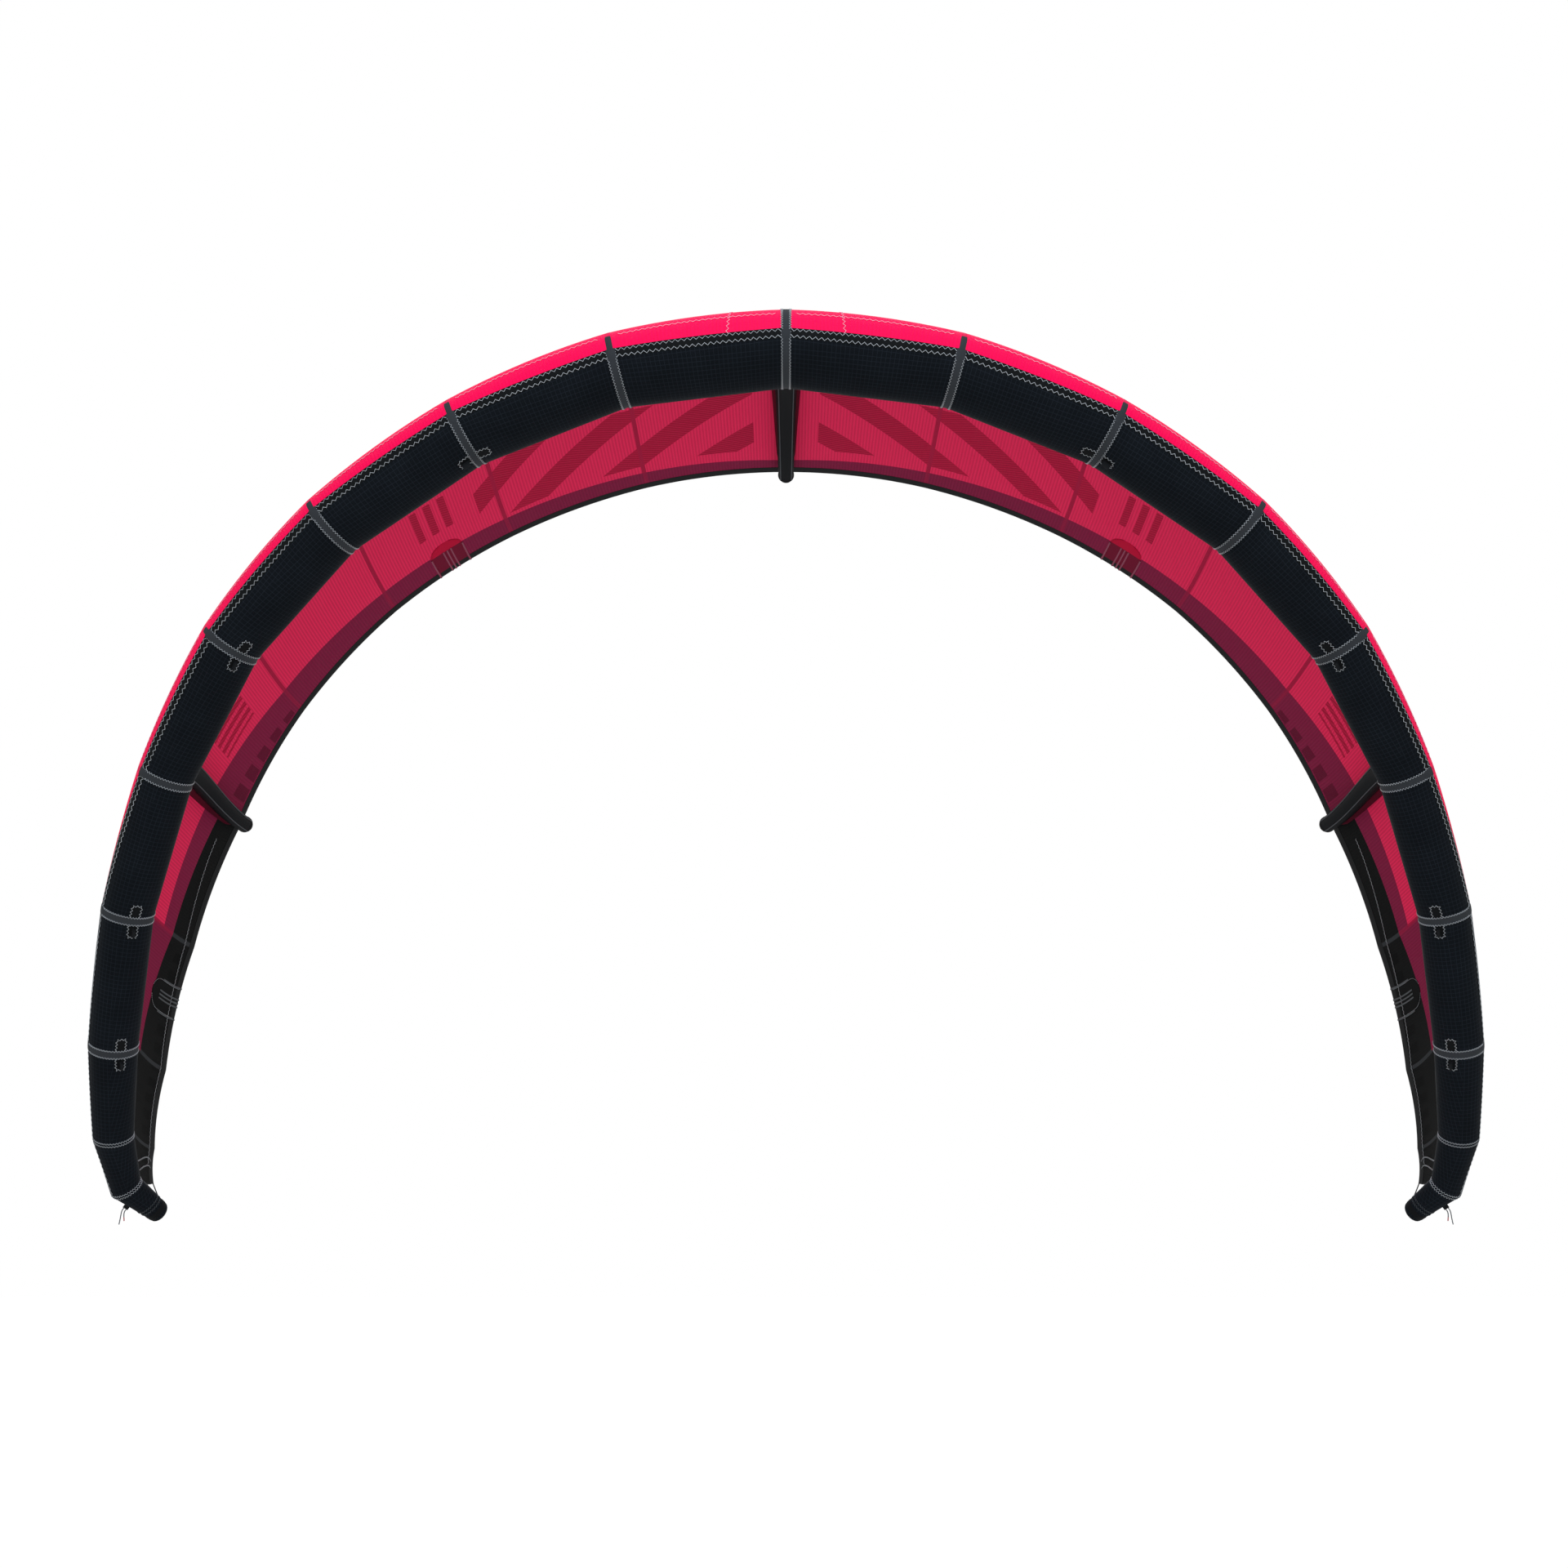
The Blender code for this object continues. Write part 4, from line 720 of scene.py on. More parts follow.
def stitch_tree(zigzag):
    """Thread along lines: a zigzag across them, or a running stitch of short dashes."""
    tree = bpy.data.node_groups.new("zigzag_stitch" if zigzag else "running_stitch", "GeometryNodeTree")
    tree.interface.new_socket(name="Geometry", in_out="INPUT", socket_type="NodeSocketGeometry")
    for size in ("Stitch length", "Stitch width", "Thread radius"):
        tree.interface.new_socket(name=size, in_out="INPUT", socket_type="NodeSocketFloat")
    tree.interface.new_socket(name="Thread", in_out="INPUT", socket_type="NodeSocketMaterial")
    tree.interface.new_socket(name="Geometry", in_out="OUTPUT", socket_type="NodeSocketGeometry")
    sizes = add_node(tree, "NodeGroupInput").outputs
    line = add_node(tree, "GeometryNodeMeshToCurve", {"Mesh": sizes["Geometry"]})
    spaced = add_node(tree, "GeometryNodeResampleCurve", {"Curve": line, "Length": sizes["Stitch length"]},
                      mode="LENGTH")
    tangent = add_node(tree, "GeometryNodeInputTangent")
    if zigzag:
        away = add_node(tree, "GeometryNodeInputNamedAttribute", {"Name": "away"},
                        data_type="FLOAT_VECTOR")
        across = add_node(tree, "ShaderNodeVectorMath", {0: tangent, 1: away}, operation="CROSS_PRODUCT")
        index = add_node(tree, "GeometryNodeInputIndex")
        parity = add_node(tree, "ShaderNodeMath", {0: index, 1: 2.0}, operation="FLOORED_MODULO")
        swing = add_node(tree, "ShaderNodeMath", {0: parity, 1: 0.5}, operation="SUBTRACT")
        reach = add_node(tree, "ShaderNodeMath", {0: swing, 1: sizes["Stitch width"]}, operation="MULTIPLY")
        offset = add_node(tree, "ShaderNodeVectorMath", {0: across, "Scale": reach}, operation="SCALE")
        path = add_node(tree, "GeometryNodeSetPosition", {"Geometry": spaced, "Offset": offset})
        section = add_node(tree, "GeometryNodeCurvePrimitiveCircle",
                           {"Resolution": THREAD_SIDES, "Radius": sizes["Thread radius"]})
        thread = add_node(tree, "GeometryNodeCurveToMesh", {"Curve": path, "Profile Curve": section})
    else:
        dash = add_node(tree, "GeometryNodeMeshIcoSphere", {"Radius": sizes["Thread radius"],
                                                            "Subdivisions": 1})
        along = add_node(tree, "FunctionNodeAlignRotationToVector", {"Vector": tangent}, axis="X")
        stretch = add_node(tree, "ShaderNodeCombineXYZ", dict(enumerate(DASH_PROPORTIONS)))
        thread = add_node(tree, "GeometryNodeInstanceOnPoints",
                          {"Points": spaced, "Instance": dash, "Rotation": along, "Scale": stretch})
    real = add_node(tree, "GeometryNodeRealizeInstances", {"Geometry": thread})
    dyed = add_node(tree, "GeometryNodeSetMaterial", {"Geometry": real, "Material": sizes["Thread"]})
    add_node(tree, "NodeGroupOutput", {"Geometry": dyed})
    return tree


ZIGZAG = stitch_tree(True)
RUNNING = stitch_tree(False)


def sew(name, lines, thread, stitch, tree=ZIGZAG):
    """Sew along lines of (point, way out of the cloth) pairs with one kind of stitch."""
    length, width, radius = stitch
    points = [point + away * radius * THREAD_SEAT_SHARE for line in lines for point, away in line]
    edges = []
    start = 0
    for line in lines:
        edges.extend((start + k, start + k + 1) for k in range(len(line) - 1))
        start += len(line)
    mesh = bpy.data.meshes.new(name)
    mesh.from_pydata(points, edges, [])
    aways = [value for line in lines for _, away in line for value in away]
    write_attribute(mesh, "away", "FLOAT_VECTOR", aways)
    piece = add_piece(name + "_lines", mesh)
    modifier = piece.modifiers.new("sewing", "NODES")
    modifier.node_group = tree
    given = {"Stitch length": length, "Stitch width": width, "Thread radius": radius, "Thread": thread}
    for item in tree.interface.items_tree:
        if item.item_type == "SOCKET" and item.in_out == "INPUT" and item.name in given:
            modifier[item.identifier] = given[item.name]
    piece = finished(piece, name)
    piece.data.shade_smooth()
    ride(piece)


# Leading edge: casing, seam tapes and the folded tape at the canopy's front edge
CASING_SHARES = (0.0, 0.03, 0.08, 0.16, 0.3, 0.5, 0.7, 0.84, 0.92, 0.97)
DOME_STEPS = 8
DOME_DEPTH_SHARE = 0.62
TAPED_SEAMS = 8
BAND_COLUMNS = 6
FRONT_LINE_STEP = 0.05
ROUND_TUBE = spread(0, 360, TUBE_SIDES)[:-1]
# The front tape's section: how far each point lies below the canopy's front edge, and off the tube
FRONT_TAPE_WIDTH = 0.024
FRONT_TAPE_SECTION = ((FRONT_TAPE_WIDTH, SEWN_EDGE), (FRONT_TAPE_WIDTH * 0.9, TAPE_THICKNESS),
                      (FRONT_TAPE_WIDTH * 0.5, TAPE_THICKNESS * 1.2), (0.001, TAPE_THICKNESS * 2.4),
                      (-0.003, TAPE_THICKNESS * 2.6))


def tip_dome(side):
    """Rings that round a wing tip off."""
    seam = SEAMS[TIP_SEAM]
    rows = []
    for k in range(1, DOME_STEPS):
        angle = math.pi / 2 * k / DOME_STEPS
        centre = seam.point + seam.tangent * seam.radius * DOME_DEPTH_SHARE * math.sin(angle)
        radius = seam.radius * math.cos(angle)
        rows.append([on_side(centre + seam.outward(d) * radius, side) for d in ROUND_TUBE])
    return rows


def valve_hole(casing):
    """Cut the valve's hole through the casing, and clear the walls that the cutter leaves inside it."""
    place = valve_place()
    rows = [[place @ point for point in ring(Vector((0, 0, height)), Vector((HOLE_RADIUS, 0, 0)),
                                             Vector((0, HOLE_RADIUS, 0)), HOLE_SIDES)]
            for height in (-HOLE_DEPTH, HOLE_DEPTH)]
    cutter = add_piece("valve_hole_cutter", mesh_from_rows(rows, closed=True, capped=True))
    cut = casing.modifiers.new("valve_hole", "BOOLEAN")
    cut.operation = "DIFFERENCE"
    cut.solver = "EXACT"
    cut.object = cutter
    casing = finished(casing, casing.name)
    bpy.data.objects.remove(cutter, do_unlink=True)
    shape = bmesh.new()
    shape.from_mesh(casing.data)
    to_valve = place.inverted()
    low, high = HOLE_WALL_HEIGHTS
    walls = []
    for face in shape.faces:
        middle = to_valve @ face.calc_center_median()
        if middle.xy.length < HOLE_RADIUS and low < middle.z < high:
            walls.append(face)
    bmesh.ops.delete(shape, geom=walls, context="FACES")
    shape.to_mesh(casing.data)
    shape.free()
    return casing


def leading_edge_casing():
    """The whole sewn tube from wing tip to wing tip, as one smooth inflated casing."""
    half = [number + share for number in range(TIP_SEAM) for share in CASING_SHARES] + [TIP_SEAM]
    stations = [-station for station in half[:0:-1]] + half
    rows = [[tube_point(station, d) for d in ROUND_TUBE] for station in stations]
    flat = [[(span_at(station), math.radians(d) * tube_radius(station)) for d in ROUND_TUBE]
            for station in stations]
    rows = tip_dome(-1)[::-1] + rows + tip_dome(1)
    flat = flat[:1] * (DOME_STEPS - 1) + flat + flat[-1:] * (DOME_STEPS - 1)
    mesh = mesh_from_rows(rows, closed=True, capped=True, flat=flat)
    nodes = [f"leading_edge_{side}_{number}" for side in SIDES for number in range(1, ELBOW_SEAM)]
    nodes += [f"wing_tip_{side}" for side in SIDES]
    ride(valve_hole(add_piece("leading_edge_casing", mesh, CASING_BLACK)), nodes)


def taped_seams():
    """The stations of the taped seams on both halves."""
    return [0] + [side * number for number in range(1, TAPED_SEAMS) for side in SIDES.values()]


def band_round_tube(stations, lift):
    """A band of cloth round the tube through these stations, its two edges sewn down."""
    rows = []
    for k, station in enumerate(stations):
        edge = k in (0, len(stations) - 1)
        rows.append([tube_point(station, d, SEWN_EDGE if edge else lift) for d in ROUND_TUBE])
    return mesh_from_rows(rows, closed=True)


def seam_tapes():
    """Flat tape over each casing seam."""
    half = TAPE_WIDTH / 2
    tapes = [band_round_tube([moved_station(seam, across) for across in spread(-half, half, BAND_COLUMNS)],
                             TAPE_THICKNESS) for seam in taped_seams()]
    fit_piece("leading_edge_seam_tapes", joined(tapes), "casing_cloth", SEAM_TAPE_GREY)


def below_front(station, drop, lift):
    """A point on the tube a length below the canopy's front edge, and the way out from it."""
    degrees = front_edge_degrees(station) - math.degrees(drop / tube_radius(station))
    return tube_place(station, degrees, lift)


def front_line(drop, lift, first=-ELBOW_SEAM, last=ELBOW_SEAM):
    """A line on the tube that follows the canopy's front edge, a length below it."""
    steps = max(2, round((last - first) / FRONT_LINE_STEP))
    return [below_front(station, drop, lift) for station in spread(first, last, steps)]


def front_lines_between_tapes(drop, lift):
    """The same line, broken where the seam tapes cross it."""
    lines = []
    for number in range(ELBOW_SEAM):
        gap = TAPE_WIDTH / 2 / segment_length(number)
        first = number + gap if number < TAPED_SEAMS else number
        last = number + 1 - gap if number + 1 < TAPED_SEAMS else number + 1
        lines.append(front_line(drop, lift, first, last))
        lines.append(front_line(drop, lift, -last, -first))
    return lines


def canopy_front_tape():
    """The black tape under which the canopy is sewn to the tube."""
    rows = [[point for point, _ in front_line(drop, lift)] for drop, lift in FRONT_TAPE_SECTION]
    fit_piece("canopy_front_tape", mesh_from_rows(rows), "hem_tape", EDGE_TAPE_BLACK)


# Canopy: one cambered sheet from wing tip to wing tip. The widths of its printed bands at each
# seam, in front of the trailing edge, and where they start.
MAROON_WIDTHS = (0.088, 0.117, 0.147, 0.172, 0.210, 0.295, 0.262, 0.262, 0.262, 0.262)
BLACK_WIDTHS = (0.175, 0.175, 0.175, 0.175, 0.175, 0.175, 0.182, 0.250, 0.250, 0.250)
MAROON_FROM_STATION = 6.0
BLACK_FROM_STATION = 5.0
ALL_BLACK_FROM_STATION = 7.0

# The canopy's dyed and printed colours, by part of the pattern: above as they are, below the same colours
# with painted shade
TOP_COLOURS = {"cloth": "#F60050", "rib": "#EA004B", "print": "#D0003F", "hatch": "#E0104C",
               "maroon": "#C4003F", "maroon_rib": "#B5003A", "block": "#A30033",
               "black": "#141513", "black_rib": "#181917", "dark_block": "#0C0D0C", "seam": "#D80049"}
# Painted shade: the underside is the same pink cloth as the top, drawn darker and crimson as it looks in
# shade
SHADED_UNDERSIDE_COLOURS = {"cloth": "#E42B59", "rib": "#CB264E", "print": "#9E1436", "hatch": "#BA2044",
                     "maroon": "#801D40", "maroon_rib": "#741A3A", "block": "#5F102D",
                     "black": "#0F1010", "black_rib": "#0B0C0C", "dark_block": "#060707",
                     "seam": "#A01A3D"}
BLACK_SEAM_CODE = "#303335"

# The printed design: slanted bars each side of the centre, short bars and rows of blocks. Spans are
# from the centre and chords from the trailing edge, in metres.
BAR_PITCH = 0.30
BAR_SHARE = 0.42
BAR_SLANT = 0.85
BAR_SPAN = (0.10, 0.97)
BAR_CHORD = (0.17, 0.60)
HATCH_PITCH = 0.026
HATCH_SHARE = 0.3
HATCH_SLANT = -1.6
HATCH_SHIFT = 3.0
SHORT_BAR_PITCH = 0.048
SHORT_BAR_SHARE = 0.5
SHORT_BAR_STATIONS = (2.30, 2.62)
SHORT_BAR_CHORD = (0.30, 0.52)
STEP_BAR_SHARE = 0.55
STEP_BAR_STATIONS = (4.30, 4.68)
STEP_BAR_CHORD = (0.30, 0.46)
BLOCK_PITCH = 0.072
BLOCK_SHARE = 0.62
BLOCK_STATIONS = (4.0, 4.93)
BLOCK_START = 0.040
BLOCK_GROWTH = {"From Min": 4.0, "From Max": 5.0, "To Min": 0.075, "To Max": 0.155}
DARK_BLOCK_PITCH = 0.0576
DARK_BLOCK_SHARE = 0.55
DARK_BLOCK_STATIONS = (6.08, 8.6)
DARK_BLOCK_CHORD = (0.055, 0.12)
SEAM_HALF_WIDTH = 0.0065
MAROON_SEAM_SHARE = 0.62


def canopy_cloth(name, codes, roughness, specular):
    """Coated ripstop: chordwise ribs, a maroon band, black outer ends and a plain printed design."""
    material, tree, shader = new_material(name, roughness, specular)
    dyes = {part: colour(code) for part, code in codes.items()}
    flat = add_node(tree, "ShaderNodeUVMap", uv_map="cloth")
    metres = add_node(tree, "ShaderNodeSeparateXYZ", {0: flat})
    span, chord = metres.outputs[0], metres.outputs[1]
    out = add_node(tree, "ShaderNodeMath", {0: span}, operation="ABSOLUTE")
    bands = add_node(tree, "ShaderNodeAttribute", attribute_name="bands")
    band = add_node(tree, "ShaderNodeSeparateXYZ", {0: bands.outputs["Vector"]})
    station = band.outputs[2]
    gap = add_node(tree, "ShaderNodeAttribute", attribute_name="seam_gap")
    rib_turn = add_node(tree, "ShaderNodeMath", {0: span, 1: math.tau / RIB_PITCH}, operation="MULTIPLY")
    rib_wave = add_node(tree, "ShaderNodeMath", {0: rib_turn}, operation="SINE")
    rib = add_node(tree, "ShaderNodeMath", {0: rib_wave, 1: 0.5, 2: 0.5}, operation="MULTIPLY_ADD")

    slant = add_node(tree, "ShaderNodeMath", {0: chord, 1: BAR_SLANT, 2: out}, operation="MULTIPLY_ADD")
    against = add_node(tree, "ShaderNodeMath", {0: chord, 1: HATCH_SLANT, 2: out},
                       operation="MULTIPLY_ADD")
    shifted = add_node(tree, "ShaderNodeMath", {0: against, 1: HATCH_SHIFT}, operation="ADD")
    hatch = stripes(tree, shifted, HATCH_PITCH, HATCH_SHARE)
    printed = painted(tree, dyes["print"], hatch, dyes["hatch"])
    cloth = painted(tree, dyes["cloth"], rib, dyes["rib"])
    for bars, along, reach, chord_reach in (
            (stripes(tree, slant, BAR_PITCH, BAR_SHARE), out, BAR_SPAN, BAR_CHORD),
            (stripes(tree, out, SHORT_BAR_PITCH, SHORT_BAR_SHARE), station, SHORT_BAR_STATIONS,
             SHORT_BAR_CHORD),
            (stripes(tree, chord, SHORT_BAR_PITCH, STEP_BAR_SHARE), station, STEP_BAR_STATIONS,
             STEP_BAR_CHORD)):
        mask = overlap(tree, bars, inside(tree, along, *reach), inside(tree, chord, *chord_reach))
        cloth = painted(tree, cloth, mask, printed)

    growth = add_node(tree, "ShaderNodeMapRange", {"Value": station, **BLOCK_GROWTH})
    block = overlap(tree, stripes(tree, out, BLOCK_PITCH, BLOCK_SHARE),
                    inside(tree, station, *BLOCK_STATIONS),
                    inside(tree, chord, BLOCK_START, growth))
    maroon = painted(tree, dyes["maroon"], rib, dyes["maroon_rib"])
    maroon = painted(tree, maroon, block, dyes["block"])
    in_maroon = add_node(tree, "ShaderNodeMath", {0: band.outputs[0], 1: 1.0}, operation="LESS_THAN")
    past_maroon = add_node(tree, "ShaderNodeMath", {0: station, 1: MAROON_FROM_STATION},
                           operation="GREATER_THAN")
    is_maroon = add_node(tree, "ShaderNodeMath", {0: in_maroon, 1: past_maroon}, operation="MAXIMUM")
    not_maroon = add_node(tree, "ShaderNodeMath", {0: 1.0, 1: is_maroon}, operation="SUBTRACT")

    dark_block = overlap(tree, stripes(tree, out, DARK_BLOCK_PITCH, DARK_BLOCK_SHARE),
                         inside(tree, station, *DARK_BLOCK_STATIONS),
                         inside(tree, chord, *DARK_BLOCK_CHORD))
    black = painted(tree, dyes["black"], rib, dyes["black_rib"])
    black = painted(tree, black, dark_block, dyes["dark_block"])
    in_black = add_node(tree, "ShaderNodeMath", {0: band.outputs[1], 1: 1.0}, operation="LESS_THAN")
    outboard = add_node(tree, "ShaderNodeMath", {0: station, 1: BLACK_FROM_STATION},
                        operation="GREATER_THAN")
    all_black = add_node(tree, "ShaderNodeMath", {0: station, 1: ALL_BLACK_FROM_STATION},
                         operation="GREATER_THAN")
    is_black = add_node(tree, "ShaderNodeMath", {0: overlap(tree, in_black, outboard), 1: all_black},
                        operation="MAXIMUM")

    at_seam = add_node(tree, "ShaderNodeMath", {0: gap.outputs["Fac"], 1: SEAM_HALF_WIDTH},
                       operation="LESS_THAN")
    cloth = painted(tree, cloth, is_maroon, maroon)
    darkened = painted(tree, dyes["seam"], MAROON_SEAM_SHARE, cloth)
    cloth = painted(tree, cloth, overlap(tree, at_seam, not_maroon), dyes["seam"])
    cloth = painted(tree, cloth, overlap(tree, at_seam, is_maroon), darkened)
    cloth = painted(tree, cloth, is_black, black)
    cloth = painted(tree, cloth, overlap(tree, at_seam, is_black), colour(BLACK_SEAM_CODE))
    tree.links.new(cloth, shader.inputs["Base Color"])
    height, _ = ripstop_height(tree, span, chord, CANOPY_GRID, CANOPY_LINE_SHARE, CANOPY_WEAVE)
    ribbed = add_node(tree, "ShaderNodeMath", {0: rib, 1: RIB_HEIGHT_SHARE, 2: height},
                      operation="MULTIPLY_ADD")
    roughened(tree, shader, ribbed, **CANOPY_RELIEF)
    return material


# Coated ripstop of the canopy: hot pink with a soft sheen above; below the same pink cloth, matt, with
# painted shade that makes it crimson
CANOPY_PINK = canopy_cloth("pink_coated_ripstop", TOP_COLOURS, roughness=0.50, specular=0.05)
CANOPY_UNDERSIDE_SHADED = canopy_cloth("pink_ripstop_underside_painted_shade", SHADED_UNDERSIDE_COLOURS, roughness=0.65,
                              specular=0.015)


def canopy_mesh(stations):
    """The sheet's upper face, its lower face with the second material, and its rim."""
    under = [canopy_row(station) for station in stations]
    rows, columns = len(under), len(under[0])
    lower = [point for row in under for point in row]
    count = len(lower)
    face = bpy.data.meshes.new("one_face")
    face.from_pydata(lower, [], grid_faces(rows, columns))
    upper = [point - vertex.normal * CANOPY_CLOTH for point, vertex in zip(lower, face.vertices)]
    bpy.data.meshes.remove(face)
    faces = grid_faces(rows, columns, count)
    top_count = len(faces)
    faces += [face[::-1] for face in grid_faces(rows, columns)]
    rim = list(range(columns)) + [r * columns + columns - 1 for r in range(1, rows)]
    rim += [count - 1 - c for c in range(1, columns)] + [r * columns for r in range(rows - 2, 0, -1)]
    faces += [(a, a + count, b + count, b) for a, b in zip(rim, rim[1:] + rim[:1])]
    mesh = bpy.data.meshes.new("canopy")
    mesh.from_pydata(lower + upper, [], faces)
    for polygon in mesh.polygons:
        polygon.material_index = int(polygon.index >= top_count)
    turned_outwards(mesh)
    smoothed(mesh)
    return mesh


def seam_gap(station):
    """The length along the span to the nearest seam."""
    number, share, _ = split_station(station)
    return min(share, 1 - share) * segment_length(number)


def write_canopy_patterns(mesh, stations):
    """Give both faces their places on the cut sheet, in the printed bands and beside the seams."""
    flat = []
    bands = []
    gaps = []
    for station in stations:
        maroon = between_seams(MAROON_WIDTHS, station)
        black = between_seams(BLACK_WIDTHS, station)
        for length in chord_lengths(station):
            flat.append((span_at(station), length))
            bands += [length / maroon, length / black, abs(station)]
            gaps.append(seam_gap(station))
    write_cloth_map(mesh, flat * 2)
    write_attribute(mesh, "bands", "FLOAT_VECTOR", bands * 2)
    write_attribute(mesh, "seam_gap", "FLOAT", gaps * 2)


def canopy():
    """The whole canopy as one stretched sheet."""
    last_row = ELBOW_SEAM * PANEL_ROWS
    stations = [k / PANEL_ROWS for k in range(-last_row, last_row + 1)]
    mesh = canopy_mesh(stations)
    write_canopy_patterns(mesh, stations)
    nodes = [f"canopy_panel_{side}_{number}" for side in SIDES for number in range(1, ELBOW_SEAM - 1)]
    piece = fit_piece("canopy", mesh, "canopy_cloth", CANOPY_PINK, CANOPY_UNDERSIDE_SHADED, nodes=nodes)
    longest = chord_lengths(0.0)[0]


# Hem: folded tape round the trailing edge. Its nose is given as shares of how far it reaches back
# and of half its thickness there.
HEM_WIDTH = 0.011
HEM_THICKNESS = 0.004
HEM_LAP = 0.030
HEM_LAP_LIFT = 0.0006
HEM_NOSE_SHARES = ((0.0, 1.0), (0.8, 0.9), (1.0, 0.3))


def trailing_edge_hems():
    """Black tape folded round the trailing edge, one piece for each half."""
    for label, side in SIDES.items():
        rows = []
        for k in range(ELBOW_SEAM * PANEL_ROWS + 1):
            station = side * k / PANEL_ROWS
            edge, up = canopy_frame(station, 0.0)
            lap, lap_up = canopy_frame(station, HEM_LAP)
            back = (edge - lap).normalized() * HEM_WIDTH
            middle = edge + up * CANOPY_CLOTH / 2
            half = up * HEM_THICKNESS / 2
            lower = [middle + back * reach - half * share for reach, share in HEM_NOSE_SHARES]
            upper = [middle + back * reach + half * share for reach, share in HEM_NOSE_SHARES[::-1]]
            rows.append([lap - lap_up * HEM_LAP_LIFT, *lower, *upper,
                         lap + lap_up * (CANOPY_CLOTH + HEM_LAP_LIFT)])
        mesh = mesh_from_rows(rows, closed=True, capped=True)
        fit_piece(f"trailing_edge_tape_{label}", mesh, "hem_tape", EDGE_TAPE_BLACK,
                  nodes=[f"trailing_edge_hem_{label}"])


# Struts: piping beneath them, gussets to the canopy and rubber end caps
PIPING_DEGREES = 41
PIPING_RADIUS = 0.0018
GUSSET_SHARES = (0.0, 0.92)
GUSSET_HALF_WIDTHS = (0.066, 0.026)
GUSSET_DEGREES = 108
GUSSET_STEPS = 4
GUSSET_TOP_GAP = 0.0008
GUSSET_STRUT_GAP = 0.0006
COPE_SEARCH_END = 0.5
ROUND_STRUT = spread(0, 360, STRUT_SIDES)[:-1]
# The cap's bead: how far along the strut each point lies, and how far it stands out of its skin
CAP_BEAD = ((-0.004, 0.0004), (-0.003, 0.0012), (0.004, 0.0012), (0.005, 0.0004))
CAP_NOSE_START = 0.006
CAP_NOSE_STEPS = 10


def strut_station(number, t):
    """A strut's centre, its run, the way down and its radius, at a share of its path."""
    seam = SEAMS[number]
    curve = canopy_curve(number)[WRAP_STEPS:]
    position = t * FREE_STEPS
    k = min(int(position), FREE_STEPS - 1)
    run = (curve[min(k + 2, FREE_STEPS)] - curve[max(k - 1, 0)]).normalized()
    down = (run * seam.up.dot(run) - seam.up).normalized()
    radius = blend(STRUT_FRONT_DIAMETER, STRUT_REAR_DIAMETER, t) / 2
    drop = STRUT_FRONT_DROP * ease(1 - t / STRUT_DROP_END_SHARE)
    centre = curve[k].lerp(curve[k + 1], position - k) + down * (radius + STRUT_SEAT + drop)
    return centre, run, down, radius


def strut_point(number, t, degrees, offset=0.0):
    """A point on a strut's skin: 0 degrees is its underside, 90 its outboard side."""
    centre, run, down, radius = strut_station(number, t)
    across = run.cross(down)
    angle = math.radians(degrees)
    return centre + (down * math.cos(angle) - across * math.sin(angle)) * (radius + offset)


def tube_clearance(point, number):
    """How far a point lies outside the leading edge, near one seam."""
    clearances = []
    for n in (number - 1, number):
        near = SEAMS[abs(n)].point if n >= 0 else on_side(SEAMS[1].point, -1)
        far = SEAMS[n + 1].point
        radii = (SEAMS[abs(n)].radius, SEAMS[n + 1].radius)
        run = far - near
        share = max(0.0, min(1.0, (point - near).dot(run) / run.length_squared))
        clearances.append((point - near - run * share).length - blend(*radii, share))
    return min(clearances)


def coped_start(number, degrees, gap):
    """Where a line along a strut's skin comes out of the leading edge."""
    return crossing(lambda t: tube_clearance(strut_point(number, t, degrees), number) < gap,
                    0.0, COPE_SEARCH_END)


def strut_end_share(number):
    """The share of a strut's path at which its end cap starts."""
    length = (strut_station(number, 1.0)[0] - strut_station(number, 0.5)[0]).length * 2
    return 1 - CAP_LENGTH / length


def strut_casing(label, number, side):
    """A tapered strut tube, coped to the leading edge in front and open under its cap."""
    end = strut_end_share(number)
    lines = [[on_side(strut_point(number, t, degrees), side)
              for t in spread(coped_start(number, degrees, TAPE_THICKNESS), end, STRUT_STEPS)]
             for degrees in ROUND_STRUT]
    mesh = mesh_from_rows(list(zip(*lines)), closed=True)
    fit_piece(f"strut_casing_{label}", mesh, "casing_cloth", STRUT_BLACK, nodes=[f"strut_{label}"])


def strut_piping(label, number, side):
    """Grey piping along both sides of a strut's underside."""
    meshes = []
    for sign in SIDES.values():
        start = coped_start(number, sign * PIPING_DEGREES, TAPE_THICKNESS + PIPING_RADIUS)
        line = [on_side(strut_point(number, t, sign * PIPING_DEGREES, PIPING_RADIUS / 2), side)
                for t in spread(start, strut_end_share(number), STRUT_STEPS)]
        meshes.append(tube_mesh(line, PIPING_RADIUS))
    fit_piece(f"strut_piping_{label}", joined(meshes), "hem_tape", PIPING_GREY)


def strut_gussets(label, number, side):
    """Strips of cloth that join a strut's sides to the canopy, dark wine as painted shade of the canopy
    beside the strut.
    """
    meshes = []
    first, last = (round(share * FREE_STEPS) for share in GUSSET_SHARES)
    for sign in SIDES.values():
        length = segment_length(number - 1 if sign < 0 and number else number)
        rows = []
        for k in range(first, last + 1):
            t = k / FREE_STEPS
            seam_row = canopy_row(number + sign * blend(*GUSSET_HALF_WIDTHS, t) / length)
            high = seam_row[WRAP_STEPS + k] - SEAMS[number].up * GUSSET_TOP_GAP
            low = strut_point(number, t, sign * GUSSET_DEGREES, GUSSET_STRUT_GAP)
            rows.append([on_side(point, side) for point in spread(low, high, GUSSET_STEPS)])
        meshes.append(mesh_from_rows(rows))
    fit_piece(f"strut_gussets_{label}", joined(meshes), "canopy_cloth", GUSSET_CLOTH_AND_SHADE)


